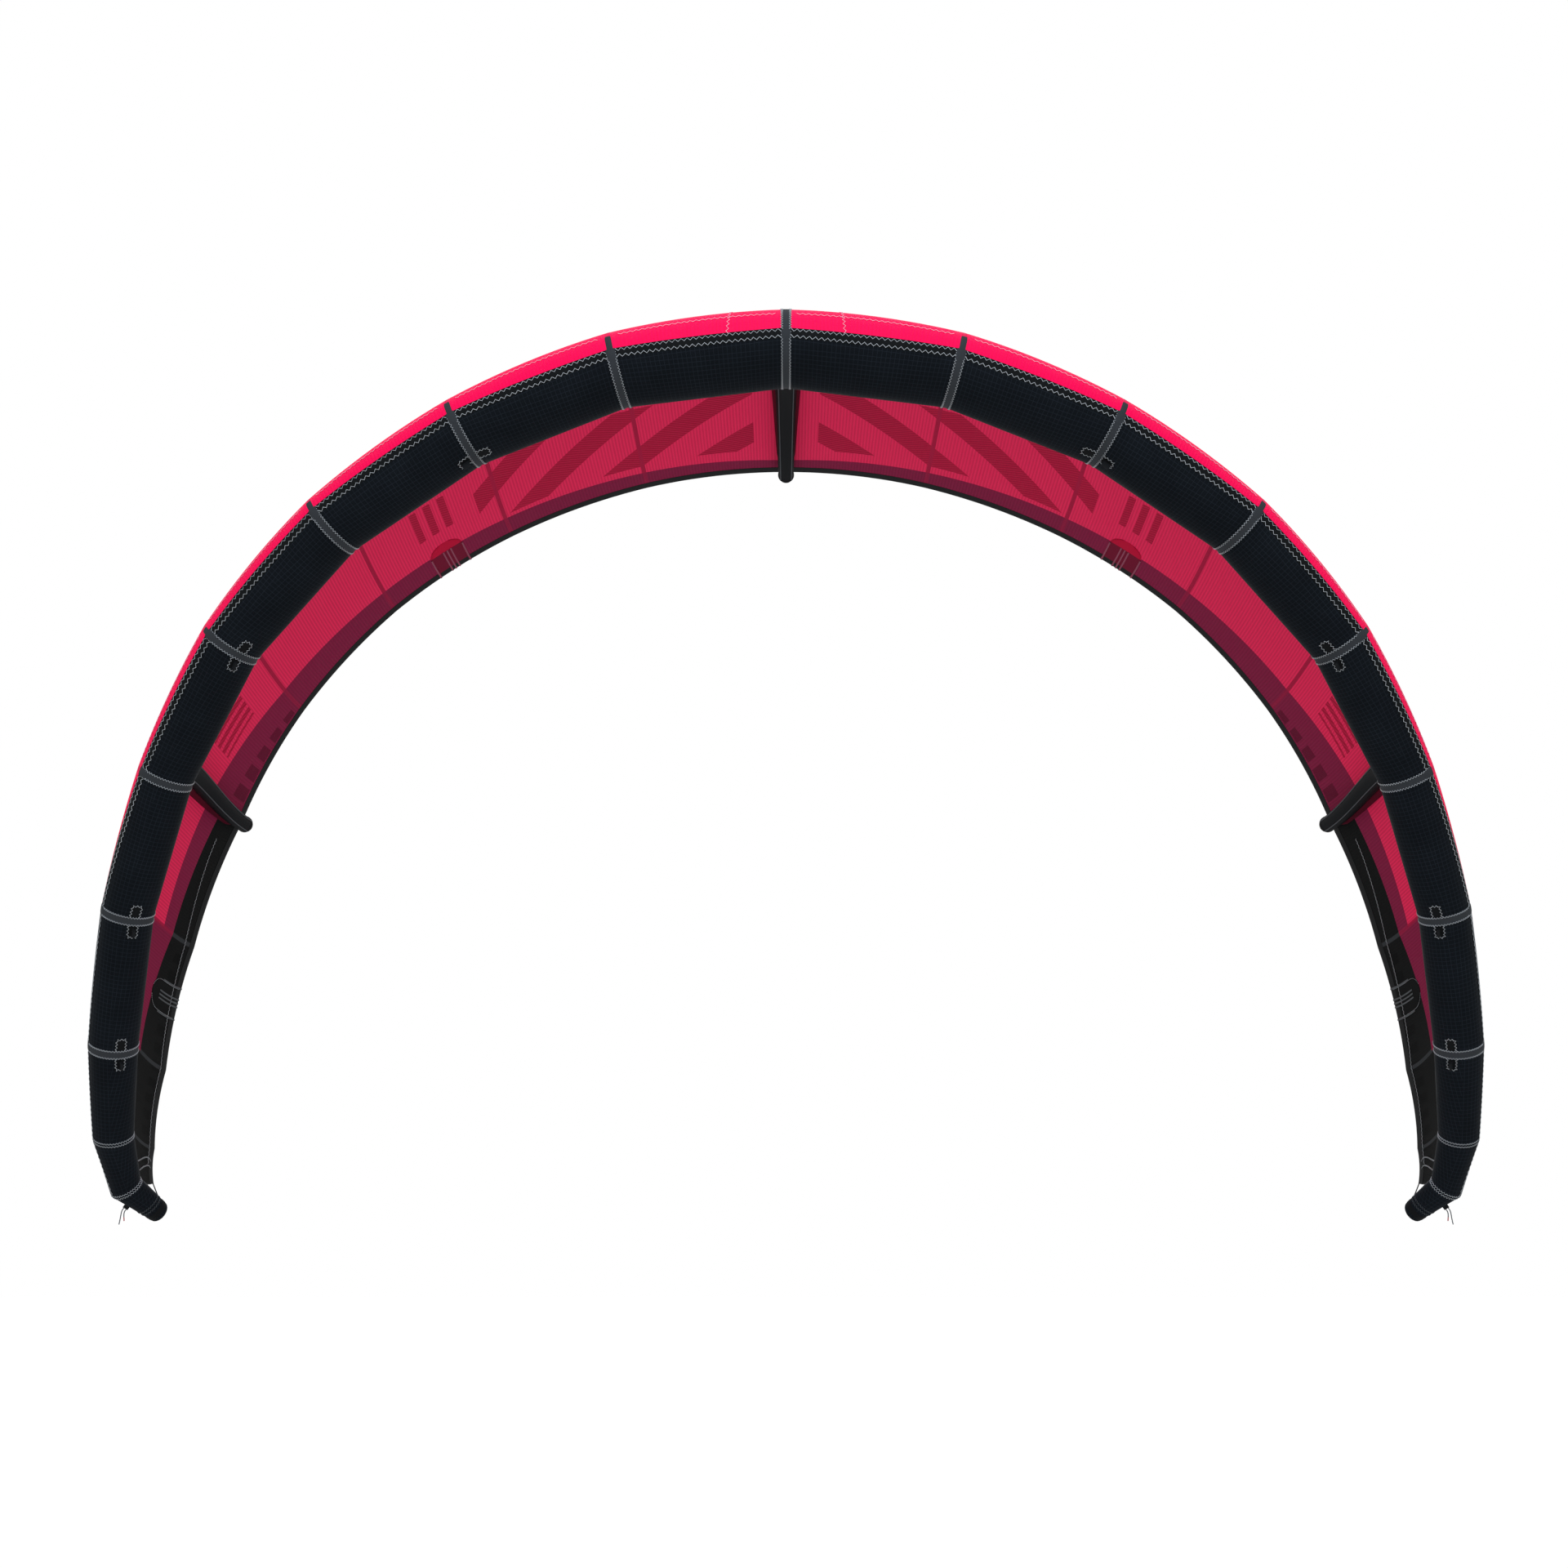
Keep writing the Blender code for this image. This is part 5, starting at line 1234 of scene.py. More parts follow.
def strut_cap(label, number, side):
    """The rounded rubber cap on a strut's tail."""
    centre, run, down, radius = strut_station(number, strut_end_share(number))
    section = [(along, radius + proud) for along, proud in CAP_BEAD]
    for k in range(CAP_NOSE_STEPS):
        angle = math.pi / 2 * k / CAP_NOSE_STEPS
        section.append((blend(CAP_NOSE_START, CAP_LENGTH, math.sin(angle)), radius * math.cos(angle)))
    rows = [[on_side(point, side) for point in ring(centre + run * along, down * reach,
                                                    run.cross(down) * reach, STRUT_SIDES)]
            for along, reach in section]
    mesh = mesh_from_rows(rows, closed=True, capped=True)
    fit_piece(f"strut_cap_{label}", mesh, "cap_rubber", CAP_RUBBER, nodes=[f"strut_end_cap_{label}"])


def struts():
    """Each strut's pieces."""
    for label, (number, side) in STRUTS.items():
        strut_casing(label, number, side)
        strut_piping(label, number, side)
        strut_gussets(label, number, side)
        strut_cap(label, number, side)


# Sewing on the tube: where the threads run beside the seams, and how far round they reach
TAPE_STITCH_OFFSET = TAPE_WIDTH * 0.42
TAPE_STITCH_START = -175
CENTRE_STITCH_START = -150
TAPE_STITCH_TOP = -4
OUTER_SEAMS = (8, 9)
OUTER_STITCH_OFFSET = 0.0045
OUTER_STITCH_TOP = 95
ROUND_LINE_DEGREES = 6
BORDER_STITCH_DROPS = (0.0022, 0.0200)
BORDER_STITCH_LIFT = TAPE_THICKNESS * 1.2


def round_line(station, shift, low, high, lift=0.0):
    """A line round the tube at a length beside a seam, between two angles."""
    spot = moved_station(station, shift)
    steps = max(2, round((high - low) / ROUND_LINE_DEGREES))
    return [tube_place(spot, degrees, lift) for degrees in spread(low, high, steps)]


def casing_stitches():
    """Zigzags along both edges of each seam tape, at the two outer seams and at the canopy's edge."""
    seams = []
    for station in taped_seams():
        start = TAPE_STITCH_START if station else CENTRE_STITCH_START
        top = front_edge_degrees(station) + TAPE_STITCH_TOP
        for shift in (-TAPE_STITCH_OFFSET, TAPE_STITCH_OFFSET):
            seams.append(round_line(station, shift, start, top, TAPE_THICKNESS))
    for number in OUTER_SEAMS:
        for side in SIDES.values():
            for shift in (-OUTER_STITCH_OFFSET, OUTER_STITCH_OFFSET):
                seams.append(round_line(side * number, shift, TAPE_STITCH_START, OUTER_STITCH_TOP))
    sew("casing_seam_stitches", seams, THREAD_GREY, TAPE_ZIGZAG)
    borders = [line for drop in BORDER_STITCH_DROPS
               for line in front_lines_between_tapes(drop, BORDER_STITCH_LIFT)]
    sew("canopy_border_stitches", borders, THREAD_GREY, BORDER_ZIGZAG)


# Over the canopy's top side, near its front edge. Each seam tape bridges the border in steps of
# how far it lies below the canopy's front edge and off the tube, then runs on for some rows.
BRIDGE_SECTION = ((0.033, 0.0009), (0.026, 0.0020), (0.013, 0.0026), (0.001, 0.0031), (-0.003, 0.0034))
BRIDGE_EDGE_SHARE = 1 / 3
TAPE_PLACES = (-1, -0.8, 0, 0.8, 1)
TAPE_END_SHARE = 0.9
TAPE_EDGE_SINK = 0.0003
PINK_TAPE_WIDTH = 0.017
PINK_TAPE_ROWS = {0: WRAP_STEPS + 6, 1: 4, 2: 4, 3: 4, 4: 3, 5: 0, 6: 0, 7: 0}
TOP_STITCH_LIFT = 0.0004
PANEL_END_SHARE = 0.86
PANEL_END_ROW = WRAP_STEPS + 4
BEHIND_PANELS = 5
BEHIND_ROW = 4
BEHIND_SHARES = (0.06, 0.94)
BEHIND_STEPS = 12


def canopy_top(station, k, lift=0.0):
    """A point over the canopy's top side in its k-th row from the front, and the way up from it."""
    row = canopy_row(station)
    inner = canopy_row(station - NEAR_STATION)[k]
    outer = canopy_row(station + NEAR_STATION)[k]
    up = (outer - inner).cross(row[min(k + 1, len(row) - 1)] - row[max(k - 1, 0)]).normalized()
    return row[k] + up * (CANOPY_CLOTH + lift), up


def tapes_over_canopy():
    """Each seam tape's end: across the border, then on over the canopy, narrower there."""
    meshes = []
    for number, last_row in PINK_TAPE_ROWS.items():
        wide = TAPE_WIDTH / 2 / segment_length(number)
        narrow = PINK_TAPE_WIDTH / 2 / segment_length(number) if number else wide
        for side in SIDES.values() if number else (1,):
            rows = []
            for drop, lift in BRIDGE_SECTION:
                rows.append([below_front(side * number + place * wide, drop,
                                         lift if abs(place) < 1 else lift * BRIDGE_EDGE_SHARE)[0]
                             for place in TAPE_PLACES])
            for k in range(last_row + 1 if last_row else 0):
                reach = narrow * TAPE_END_SHARE if number and k == last_row else narrow
                rows.append([canopy_top(side * number + place * reach, k,
                                        TAPE_THICKNESS if abs(place) < 1 else -TAPE_EDGE_SINK)[0]
                             for place in TAPE_PLACES])
            meshes.append(mesh_from_rows(rows))
    fit_piece("seam_tapes_over_canopy", joined(meshes), "casing_cloth", SEAM_TAPE_GREY)


def canopy_top_line(first, last, last_row, lift=TOP_STITCH_LIFT):
    """A line on the canopy's top side from its front edge back to a row, between two stations."""
    return [canopy_top(station, k, lift) for k, station in enumerate(spread(first, last, last_row))]


def canopy_top_stitches():
    """The centre tape's edges, the centre panel's two sewn ends and a faint line behind the edge."""
    edge = TAPE_STITCH_OFFSET / segment_length(0)
    tapes = [canopy_top_line(side * edge, side * edge, PINK_TAPE_ROWS[0], TAPE_THICKNESS)
             for side in SIDES.values()]
    end = CENTRE_PANEL_STATION
    panel = [canopy_top_line(side * end, side * end * PANEL_END_SHARE, PANEL_END_ROW)
             for side in SIDES.values()]
    behind = [[canopy_top(side * (number + share), BEHIND_ROW, TOP_STITCH_LIFT)
               for share in spread(*BEHIND_SHARES, BEHIND_STEPS)]
              for number in range(BEHIND_PANELS) for side in SIDES.values()]
    sew("centre_tape_stitches", tapes, THREAD_GREY, CENTRE_TAPE_ZIGZAG)
    sew("centre_panel_stitches", panel + behind, THREAD_PINK, PANEL_ZIGZAG)


# Bridle patches and webbing loops: where round the tube each seam's patch lies, and their sizes
PATCH_ANGLES = {2: -58, 4: -38, 6: -30, 7: -30}
PATCH_LENGTH = 0.100
PATCH_WIDTH = 0.032
PATCH_CORNER = 0.006
PATCH_CLOTH = 0.0006
PATCH_EDGE = 0.0001
PATCH_STEPS = 24
PATCH_PLACES = (-1, -0.94, -0.5, 0, 0.5, 0.94, 1)
PATCH_STITCH_INSET = 0.003
PATCH_CORNER_STEPS = 4
BRIDLE_LOOP = {"length": 0.022, "thickness": 0.005, "height": 0.020}
TIP_LOOP = {"length": 0.016, "thickness": 0.004, "height": 0.012}
TIP_LOOP_SHARE = 0.4
TIP_LOOP_ANGLE = 90
LOOP_SETBACK = 0.030
LOOP_ROOT = 0.006
LOOP_FOLD_STEPS = 8
WEB_THICKNESS = 0.0018


def patch_point(station, degrees, along, around, lift):
    """A point of a patch, from its lengths along the tube and round it, and the way out there."""
    turned = degrees + math.degrees(around / tube_radius(station))
    return tube_place(moved_station(station, along), turned, lift)


def patch_half_width(along):
    """Half the patch's width at a length from its middle: its corners are round."""
    into = abs(along) - (PATCH_LENGTH / 2 - PATCH_CORNER)
    if into <= 0:
        return PATCH_WIDTH / 2
    return PATCH_WIDTH / 2 - PATCH_CORNER + math.sqrt(max(0.0, PATCH_CORNER ** 2 - into ** 2))


def bridle_patches():
    """Sewn reinforcements across the seams that the bridle pulls on."""
    meshes = []
    lines = []
    for number, degrees in PATCH_ANGLES.items():
        for side in SIDES.values():
            station = side * number
            rows = []
            for k, along in enumerate(spread(-PATCH_LENGTH / 2, PATCH_LENGTH / 2, PATCH_STEPS)):
                half = patch_half_width(along)
                end = k in (0, PATCH_STEPS)
                rows.append([patch_point(station, degrees, along, half * place,
                                         PATCH_EDGE if end or abs(place) == 1 else PATCH_CLOTH)[0]
                             for place in PATCH_PLACES])
            meshes.append(mesh_from_rows(rows))
            for end in (1, -1):
                lines.append(patch_stitch_line(station, degrees, end))
    fit_piece("bridle_patches", joined(meshes), "casing_cloth", EDGE_TAPE_BLACK)
    sew("bridle_patch_stitches", lines, THREAD_GREY, BRIDLE_PATCH_ZIGZAG)


def patch_stitch_line(station, degrees, end):
    """The U of stitches round one end of a patch, outside the seam tape."""
    reach = PATCH_WIDTH / 2 - PATCH_STITCH_INSET
    corner = PATCH_CORNER - PATCH_STITCH_INSET
    far = PATCH_LENGTH / 2 - PATCH_STITCH_INSET - corner
    places = [(TAPE_WIDTH / 2, reach)]
    for k in range(PATCH_CORNER_STEPS + 1):
        angle = math.pi / 2 * k / PATCH_CORNER_STEPS
        places.append((far + corner * math.sin(angle), reach - corner + corner * math.cos(angle)))
    places += [(along, -around) for along, around in places[::-1]]
    return [patch_point(station, degrees, end * along, around, PATCH_CLOTH) for along, around in places]


def tube_frame(station, degrees):
    """A frame on the tube: its origin, and the directions along, round and out of it."""
    origin, out = tube_place(station, degrees)
    ahead = tube_point(station + FRAME_STEP, degrees)
    behind = tube_point(station - FRAME_STEP, degrees)
    along = (ahead - behind).normalized()
    out = (out - along * out.dot(along)).normalized()
    return origin, along, out.cross(along), out


def webbing_loop(name, station, degrees, length, thickness, height):
    """A strip of webbing folded over into a flat loop, its ends sewn down."""
    origin, along, around, out = tube_frame(station, degrees)
    middle = (thickness - WEB_THICKNESS) / 2
    fold = height - WEB_THICKNESS - middle
    places = [(-middle, -LOOP_ROOT), (-middle, fold)]
    for k in range(1, LOOP_FOLD_STEPS):
        angle = math.pi * k / LOOP_FOLD_STEPS
        places.append((-middle * math.cos(angle), fold + WEB_THICKNESS / 2 + middle * math.sin(angle)))
    places += [(middle, fold), (middle, -LOOP_ROOT)]
    rows = []
    for k, (y, z) in enumerate(places):
        before = Vector(places[max(k - 1, 0)])
        after = Vector(places[min(k + 1, len(places) - 1)])
        run = (after - before).normalized()
        row = []
        for end, skin in ((-1, 1), (1, 1), (1, -1), (-1, -1)):
            here = Vector((y, z)) + Vector((-run.y, run.x)) * skin * WEB_THICKNESS / 2
            row.append(origin + along * end * length / 2 + around * here.x + out * here.y)
        rows.append(row)
    fit_piece(name, mesh_from_rows(rows, closed=True, capped=True), "webbing", WEBBING_BLACK)


def webbing_loops():
    """The bridle's loops on the leading edge, and the pigtails' loops on the wing tips."""
    for label, side in SIDES.items():
        for number, degrees in PATCH_ANGLES.items():
            station = side * (number + LOOP_SETBACK / segment_length(number))
            webbing_loop(f"bridle_loop_{label}_{number}", station, degrees, **BRIDLE_LOOP)
        webbing_loop(f"tip_loop_{label}", side * (ELBOW_SEAM + TIP_LOOP_SHARE), TIP_LOOP_ANGLE, **TIP_LOOP)


# Pigtails: each one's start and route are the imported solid's, on the right wing tip
PIGTAIL_DIAMETER = 0.003
PIGTAILS = {
    "long": ((1.91371, 0.89097, -2.30451),
             ((0, 0, 0), (0.0035, 0, -0.0045), (0.006, 0, -0.010), (0.0075, -0.001, -0.018),
              (0.009, -0.001, -0.028), (0.011, 0, -0.038), (0.013, 0, -0.047))),
    "short": ((1.90783, 0.8945, -2.30863),
              ((0, 0, 0), (0.0035, 0, -0.0045), (0.0055, 0, -0.011), (0.006, 0.001, -0.018),
               (0.0055, 0.001, -0.026), (0.005, 0.001, -0.033))),
}
PIGTAIL_POINTS = 18
PIGTAIL_SIDES = 12
WHIPPING_POINTS = 6


def smooth_line(points, count):
    """Evenly many points on one smooth curve through a route."""
    route = [2 * points[0] - points[1]] + list(points) + [2 * points[-1] - points[-2]]
    line = []
    for k in range(count):
        position = (len(points) - 1) * k / (count - 1)
        n = min(int(position), len(points) - 2)
        t = position - n
        a, b, c, d = route[n:n + 4]
        line.append(((b * 2) + (c - a) * t + (a * 2 - b * 5 + c * 4 - d) * t ** 2
                     + (b * 3 - a - c * 3 + d) * t ** 3) / 2)
    return line


def pigtails():
    """Two short cords on each wing tip: a long grey one, and a short one with a red end."""
    for label, side in SIDES.items():
        for kind, (start, route) in PIGTAILS.items():
            points = [on_side(Vector(start) + Vector(step), side) for step in route]
            line = smooth_line(points, PIGTAIL_POINTS)
            mesh = tube_mesh(line, PIGTAIL_DIAMETER / 2, PIGTAIL_SIDES)
            piece = fit_piece(f"pigtail_{kind}_cord_{label}", mesh, "webbing", CORD_GREY, CORD_RED,
                              nodes=[f"pigtail_{kind}_{label}"])
            if kind == "short":
                whipping = PIGTAIL_SIDES * (PIGTAIL_POINTS - WHIPPING_POINTS)
                for polygon in mesh.polygons:
                    polygon.material_index = int(min(polygon.vertices) >= whipping)


# Wing tips: end band, inner tape, stitches and leech line. The tape's section gives degrees round
# the tube and the lift off it.
TIP_END = TIP_SEAM - 0.001
TIP_BAND_WIDTH = 0.018
TIP_BAND_LIFT = 0.0010
TIP_TAPE_STATIONS = (ELBOW_SEAM + 0.06, TIP_SEAM - 0.24)
TIP_TAPE_SECTION = ((-112, SEWN_EDGE), (-110, 0.0008), (-96, 0.0009), (-82, 0.0008), (-80, SEWN_EDGE))
TIP_TAPE_STEPS = 12
TIP_STITCH_SETBACKS = (0.030, 0.042)
TIP_STITCH_DEGREES = 8
LEECH_START_STATION = ELBOW_SEAM - 0.001
LEECH_END_ANGLE = 215
LEECH_RADIUS = 0.0018
LEECH_STEPS = 12
LEECH_LOOP_LENGTH = 0.012
LEECH_LOOP_WIDTH = 0.008
LEECH_LOOP_RADIUS = 0.0014
LEECH_LOOP_STEPS = 16


def wing_tip_trim():
    """A black band round each tube's end, a grey tape up its inner side and rows of stitches."""
    bands = []
    tapes = []
    lines = []
    for side in SIDES.values():
        end = side * TIP_END
        bands.append(band_round_tube([moved_station(end, back) for back in
                                      spread(-TIP_BAND_WIDTH, 0.0, BAND_COLUMNS)], TIP_BAND_LIFT))
        rows = [[tube_point(side * station, degrees, lift) for degrees, lift in TIP_TAPE_SECTION]
                for station in spread(*TIP_TAPE_STATIONS, TIP_TAPE_STEPS)]
        tapes.append(mesh_from_rows(rows))
        for back in TIP_STITCH_SETBACKS:
            spot = moved_station(end, -back)
            lines.append([tube_place(spot, degrees) for degrees in range(-180, 181, TIP_STITCH_DEGREES)])
    fit_piece("wing_tip_bands", joined(bands), "casing_cloth", EDGE_TAPE_BLACK)
    fit_piece("wing_tip_inner_tapes", joined(tapes), "casing_cloth", SEAM_TAPE_GREY)
    sew("wing_tip_stitches", lines, THREAD_DARK, WING_TIP_ZIGZAG)


def leech_lines():
    """The cord from each rear corner of the canopy to its wing tip, with a loop at the corner."""
    for label, side in SIDES.items():
        corner, _ = canopy_frame(side * LEECH_START_STATION, 0.0)
        back = on_side(SEAMS[ELBOW_SEAM].chord_direction, side)
        start = corner + back * HEM_WIDTH
        tip = on_side(SEAMS[TIP_SEAM].at(LEECH_END_ANGLE, LEECH_RADIUS), side)
        reach = (tip - start).normalized() * LEECH_LOOP_LENGTH / 2
        loop = ring(start + reach, -reach, back * LEECH_LOOP_WIDTH / 2, LEECH_LOOP_STEPS)
        meshes = [tube_mesh(spread(start, tip, LEECH_STEPS), LEECH_RADIUS),
                  tube_mesh(loop + loop[:1], LEECH_LOOP_RADIUS)]
        fit_piece(f"leech_line_{label}", joined(meshes), "hem_tape", EDGE_TAPE_BLACK)


# Underside of the canopy: batten patches and rows of stitches. A patch has the station of its
# middle; in front of the trailing edge its sides run straight, then close in a round end.
BATTEN_PATCHES = {
    "inner": {"middle": 2.475, "straight": 0.155, "end": 0.218, "cloths": (PATCH_RED, PATCH_WINE),
              "rib": RIB_ROSE, "thread": THREAD_CRIMSON},
    "outer": {"middle": 6.475, "straight": 0.160, "end": 0.225, "cloths": (PATCH_BLACK,),
              "rib": THREAD_DARK, "thread": THREAD_GREY},
}
BATTEN_PATCH_REACH = 0.125
BATTEN_PATCH_START = HEM_LAP * 0.85
BATTEN_PATCH_LIFT = 0.0008
BATTEN_PATCH_STEPS = 30
BATTEN_PATCH_PLACES = (-1, -0.96, -0.4, 0.4, 0.96, 1)
BATTEN_STITCH_START = 0.012
BATTEN_STITCH_INSET = 0.004
BATTEN_STITCH_SHARE = 0.93
BATTEN_SHARES = (-1.0, -0.28, -0.04, 0.20, 1.0)
OUTER_BATTEN_SHARE = 0.94
BATTEN_WIDTH = 0.0055
BATTEN_HEIGHT = 0.0014
BATTEN_SINK = 0.0004
BATTEN_PLACES = (-1, -0.6, 0.6, 1)
BATTEN_OVER_HEM = 0.0024
BATTEN_OVER_CLOTH = 0.0010
BATTEN_WRAP = HEM_WIDTH * 0.7
BATTEN_STEPS = 13
# Threads lie this far off the cloth; the black band's and the corners' routes give the chords that
# they run at, by station or by the length inboard of the rear corner
UNDER_STITCH_LIFT = 0.0003
BAND_ROUTE = ((5.2, 0.118), (5.35, 0.112), (5.85, 0.079), (6.3, 0.057), (7.0, 0.040), (8.6, 0.036))
BAND_ROUTE_STEPS = 10
CORNER_ROUTES = (((0.0, 0.300), (0.050, 0.215), (0.095, 0.125), (0.120, 0.070), (0.123, 0.035),
                  (0.108, 0.008)),
                 ((0.0, 0.215), (0.045, 0.140), (0.075, 0.085), (0.088, 0.045), (0.086, 0.025),
                  (0.075, 0.008)))
CORNER_STATION = ELBOW_SEAM - 0.01
CORNER_POINTS = 26


def under_point(station, chord, lift):
    """A point hanging below the canopy's underside, and the way out from it."""
    point, up = canopy_frame(station, chord)
    return point - up * lift, -up


def batten_patch_reach(patch, chord):
    """Half of a batten patch's width at a chord length, in stations: its front end is round."""
    over = (chord - patch["straight"]) / (patch["end"] - patch["straight"])
    return BATTEN_PATCH_REACH * math.sqrt(max(0.0, 1 - max(0.0, over) ** 2))


def batten_patch(patch, side):
    """One half-oval patch at the trailing edge."""
    rows = []
    for k, chord in enumerate(spread(BATTEN_PATCH_START, patch["end"], BATTEN_PATCH_STEPS)):
        reach = batten_patch_reach(patch, chord)
        rows.append([under_point(side * (patch["middle"] + reach * place), chord,
                                 BATTEN_PATCH_LIFT if abs(place) < 1 and k < BATTEN_PATCH_STEPS
                                 else PATCH_EDGE)[0] for place in BATTEN_PATCH_PLACES])
    return mesh_from_rows(rows)


def batten_stitch_line(patch, side, sign):
    """The stitches along one edge of a patch and round half of its front."""
    line = []
    for chord in spread(BATTEN_STITCH_START, patch["end"] - BATTEN_STITCH_INSET, BATTEN_PATCH_STEPS):
        reach = batten_patch_reach(patch, chord) * BATTEN_STITCH_SHARE
        line.append(under_point(side * (patch["middle"] + sign * reach), chord, BATTEN_PATCH_LIFT))
    return line


def batten(station, far):
    """A flat rib of a length in front of the trailing edge, wrapped over the hem."""
    reach = BATTEN_WIDTH / 2 / segment_length(int(abs(station)))
    rows = []
    for chord in spread(-BATTEN_WRAP, far, BATTEN_STEPS):
        edge = (BATTEN_OVER_HEM if chord < HEM_LAP else BATTEN_OVER_CLOTH) - BATTEN_SINK
        rows.append([under_point(station + reach * place, chord,
                                 edge if abs(place) == 1 else edge + BATTEN_HEIGHT)[0]
                     for place in BATTEN_PLACES])
    return mesh_from_rows(rows)


def batten_patches():
    """The patches at the trailing edge, with flat battens sewn along them."""
    for label, patch in BATTEN_PATCHES.items():
        patches = []
        ribs = []
        lines = []
        for side in SIDES.values():
            patches.append(batten_patch(patch, side))
            lines += [batten_stitch_line(patch, side, sign) for sign in (1, -1)]
            for share in BATTEN_SHARES:
                far = patch["straight"] * (1 if abs(share) < 1 else OUTER_BATTEN_SHARE)
                ribs.append(batten(side * (patch["middle"] + BATTEN_PATCH_REACH * share), far))
        mesh = joined(patches)
        fit_piece(f"batten_patches_{label}", mesh, "canopy_cloth", *patch["cloths"])
        if len(patch["cloths"]) > 1:
            for polygon in mesh.polygons:
                row = polygon.index // (len(BATTEN_PATCH_PLACES) - 1) % BATTEN_PATCH_STEPS
                chord = blend(BATTEN_PATCH_START, patch["end"], (row + 0.5) / BATTEN_PATCH_STEPS)
                polygon.material_index = int(chord < patch["straight"])
        fit_piece(f"battens_{label}", joined(ribs), "canopy_cloth", patch["rib"])
        sew(f"batten_patch_stitches_{label}", lines, patch["thread"], BATTEN_PATCH_DASHES,
            RUNNING)


def canopy_under_stitches():
    """A zigzag along the black band and rows of stitches round each rear corner."""
    bands = []
    arcs = []
    for side in SIDES.values():
        band = []
        for first, last in zip(BAND_ROUTE, BAND_ROUTE[1:]):
            for place in spread(Vector(first), Vector(last), BAND_ROUTE_STEPS)[:-1]:
                band.append(under_point(side * place.x, place.y, UNDER_STITCH_LIFT))
        bands.append(band)
        for route in CORNER_ROUTES:
            arcs.append([under_point(moved_station(side * CORNER_STATION, -place.x), place.y,
                                     UNDER_STITCH_LIFT)
                         for place in smooth_line([Vector(pair) for pair in route], CORNER_POINTS)])
    sew("black_band_stitches", bands, THREAD_GREY, BAND_ZIGZAG)
    sew("rear_corner_stitches", arcs, THREAD_GREY, CORNER_ZIGZAG)


# One-pump hoses, each with its two ends' places and its pinch under the clip, and the clips' edges
HOSE_RADIUS = 0.009
HOSE_SPAN_OFFSET = 0.115
HOSE_STRUT_REACH = 0.125
HOSE_ANGLE = 190
HOSE_HANDLE_SHARE = 0.42
HOSE_ROWS = 48
HOSE_COLUMNS = 24
PINCH_HEIGHT = 0.0035
PINCH_WIDTH = 0.0115
PINCH_SHARE = 0.16
PINCH_SLOPE = 2
CAD_STRUT_SIDES = 14
CLIP_EDGE = 0.0004
EDGE_STEPS = 2
EDGE_FROM_DEGREES = 35
WELD_DISTANCE = 0.00002


def facet_depth(radius, degrees):
    """How far the middle of a flat facet lies inside the circle that it stands for."""
    return radius * (1 - math.cos(math.radians(degrees / 2)))


def strut_place_at(number, reach):
    """The strut's section at a length behind the leading edge's axis."""
    seam = SEAMS[number]
    share = crossing(lambda t: (strut_station(number, t)[0] - seam.point).dot(seam.back) < reach, 0.0, 1.0)
    return strut_station(number, share)


def hose_handles(number):
    """The four control points of a hose's route to a seam's strut, on the right half."""
    seam = SEAMS[number]
    offset = HOSE_SPAN_OFFSET / segment_length(max(number - 1, 0))
    station = number - offset if number else offset
    start, _, _, out = tube_frame(station, HOSE_ANGLE)
    start = start + out * (CLEARANCE * 2 - facet_depth(seam.radius, CAD_FACET_DEGREES))
    centre, run, _, radius = strut_place_at(number, seam.radius + HOSE_STRUT_REACH)
    sideways = -seam.tangent if number else seam.tangent
    sideways = (sideways - run * sideways.dot(run)).normalized()
    end = centre + sideways * (radius - facet_depth(radius, 360 / CAD_STRUT_SIDES) + CLEARANCE * 2)
    reach = (end - start).length * HOSE_HANDLE_SHARE
    return start, start + out * reach, end + sideways * reach, end


def one_pump_hoses():
    """Smooth hoses between the leading edge and the struts, pinched flat under their clips."""
    for label, (number, side) in STRUTS.items():
        a, b, c, d = hose_handles(number)
        down = -SEAMS[number].up
        rows = []
        for t in spread(0.0, 1.0, HOSE_ROWS):
            slope = (b - a) * 3 * (1 - t) ** 2 + (c - b) * 6 * t * (1 - t) + (d - c) * 3 * t ** 2
            run = slope.normalized()
            rise = (run * down.dot(run) - down).normalized()
            squeeze = ease((1 - abs(t - 0.5) / PINCH_SHARE) * PINCH_SLOPE)
            width = run.cross(rise) * blend(HOSE_RADIUS, PINCH_WIDTH, squeeze)
            height = rise * blend(HOSE_RADIUS, PINCH_HEIGHT, squeeze)
            rows.append([on_side(point, side) for point in
                         ring(bezier(a, b, c, d, t), width, height, HOSE_COLUMNS)])
        fit_piece(f"hose_{label}", mesh_from_rows(rows, closed=True, capped=True), "hose_tube",
                  HOSE_PLASTIC, nodes=[f"one_pump_hose_{label}"])


def dress_node(name, material, edge=0.0):
    """Give a packed rigid piece its finish, with rounded edges, in its own place."""
    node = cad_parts[name]
    node.data.materials.clear()
    node.data.materials.append(material)
    weld = node.modifiers.new("weld", "WELD")
    weld.merge_threshold = WELD_DISTANCE
    if edge:
        edges = node.modifiers.new("edges", "BEVEL")
        edges.width = edge
        edges.segments = EDGE_STEPS
        edges.limit_method = "ANGLE"
        edges.angle_limit = math.radians(EDGE_FROM_DEGREES)


def clips_and_bladders():
    """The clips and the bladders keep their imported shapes, with their real finishes."""
    for label in STRUTS:
        dress_node(f"pinch_clip_base_{label}", CLIP_PLASTIC, CLIP_EDGE)
        dress_node(f"pinch_clip_lever_{label}", CLIP_PLASTIC, CLIP_EDGE)
        dress_node(f"strut_bladder_{label}", BLADDER_FILM)
    dress_node("leading_edge_bladder", BLADDER_FILM)


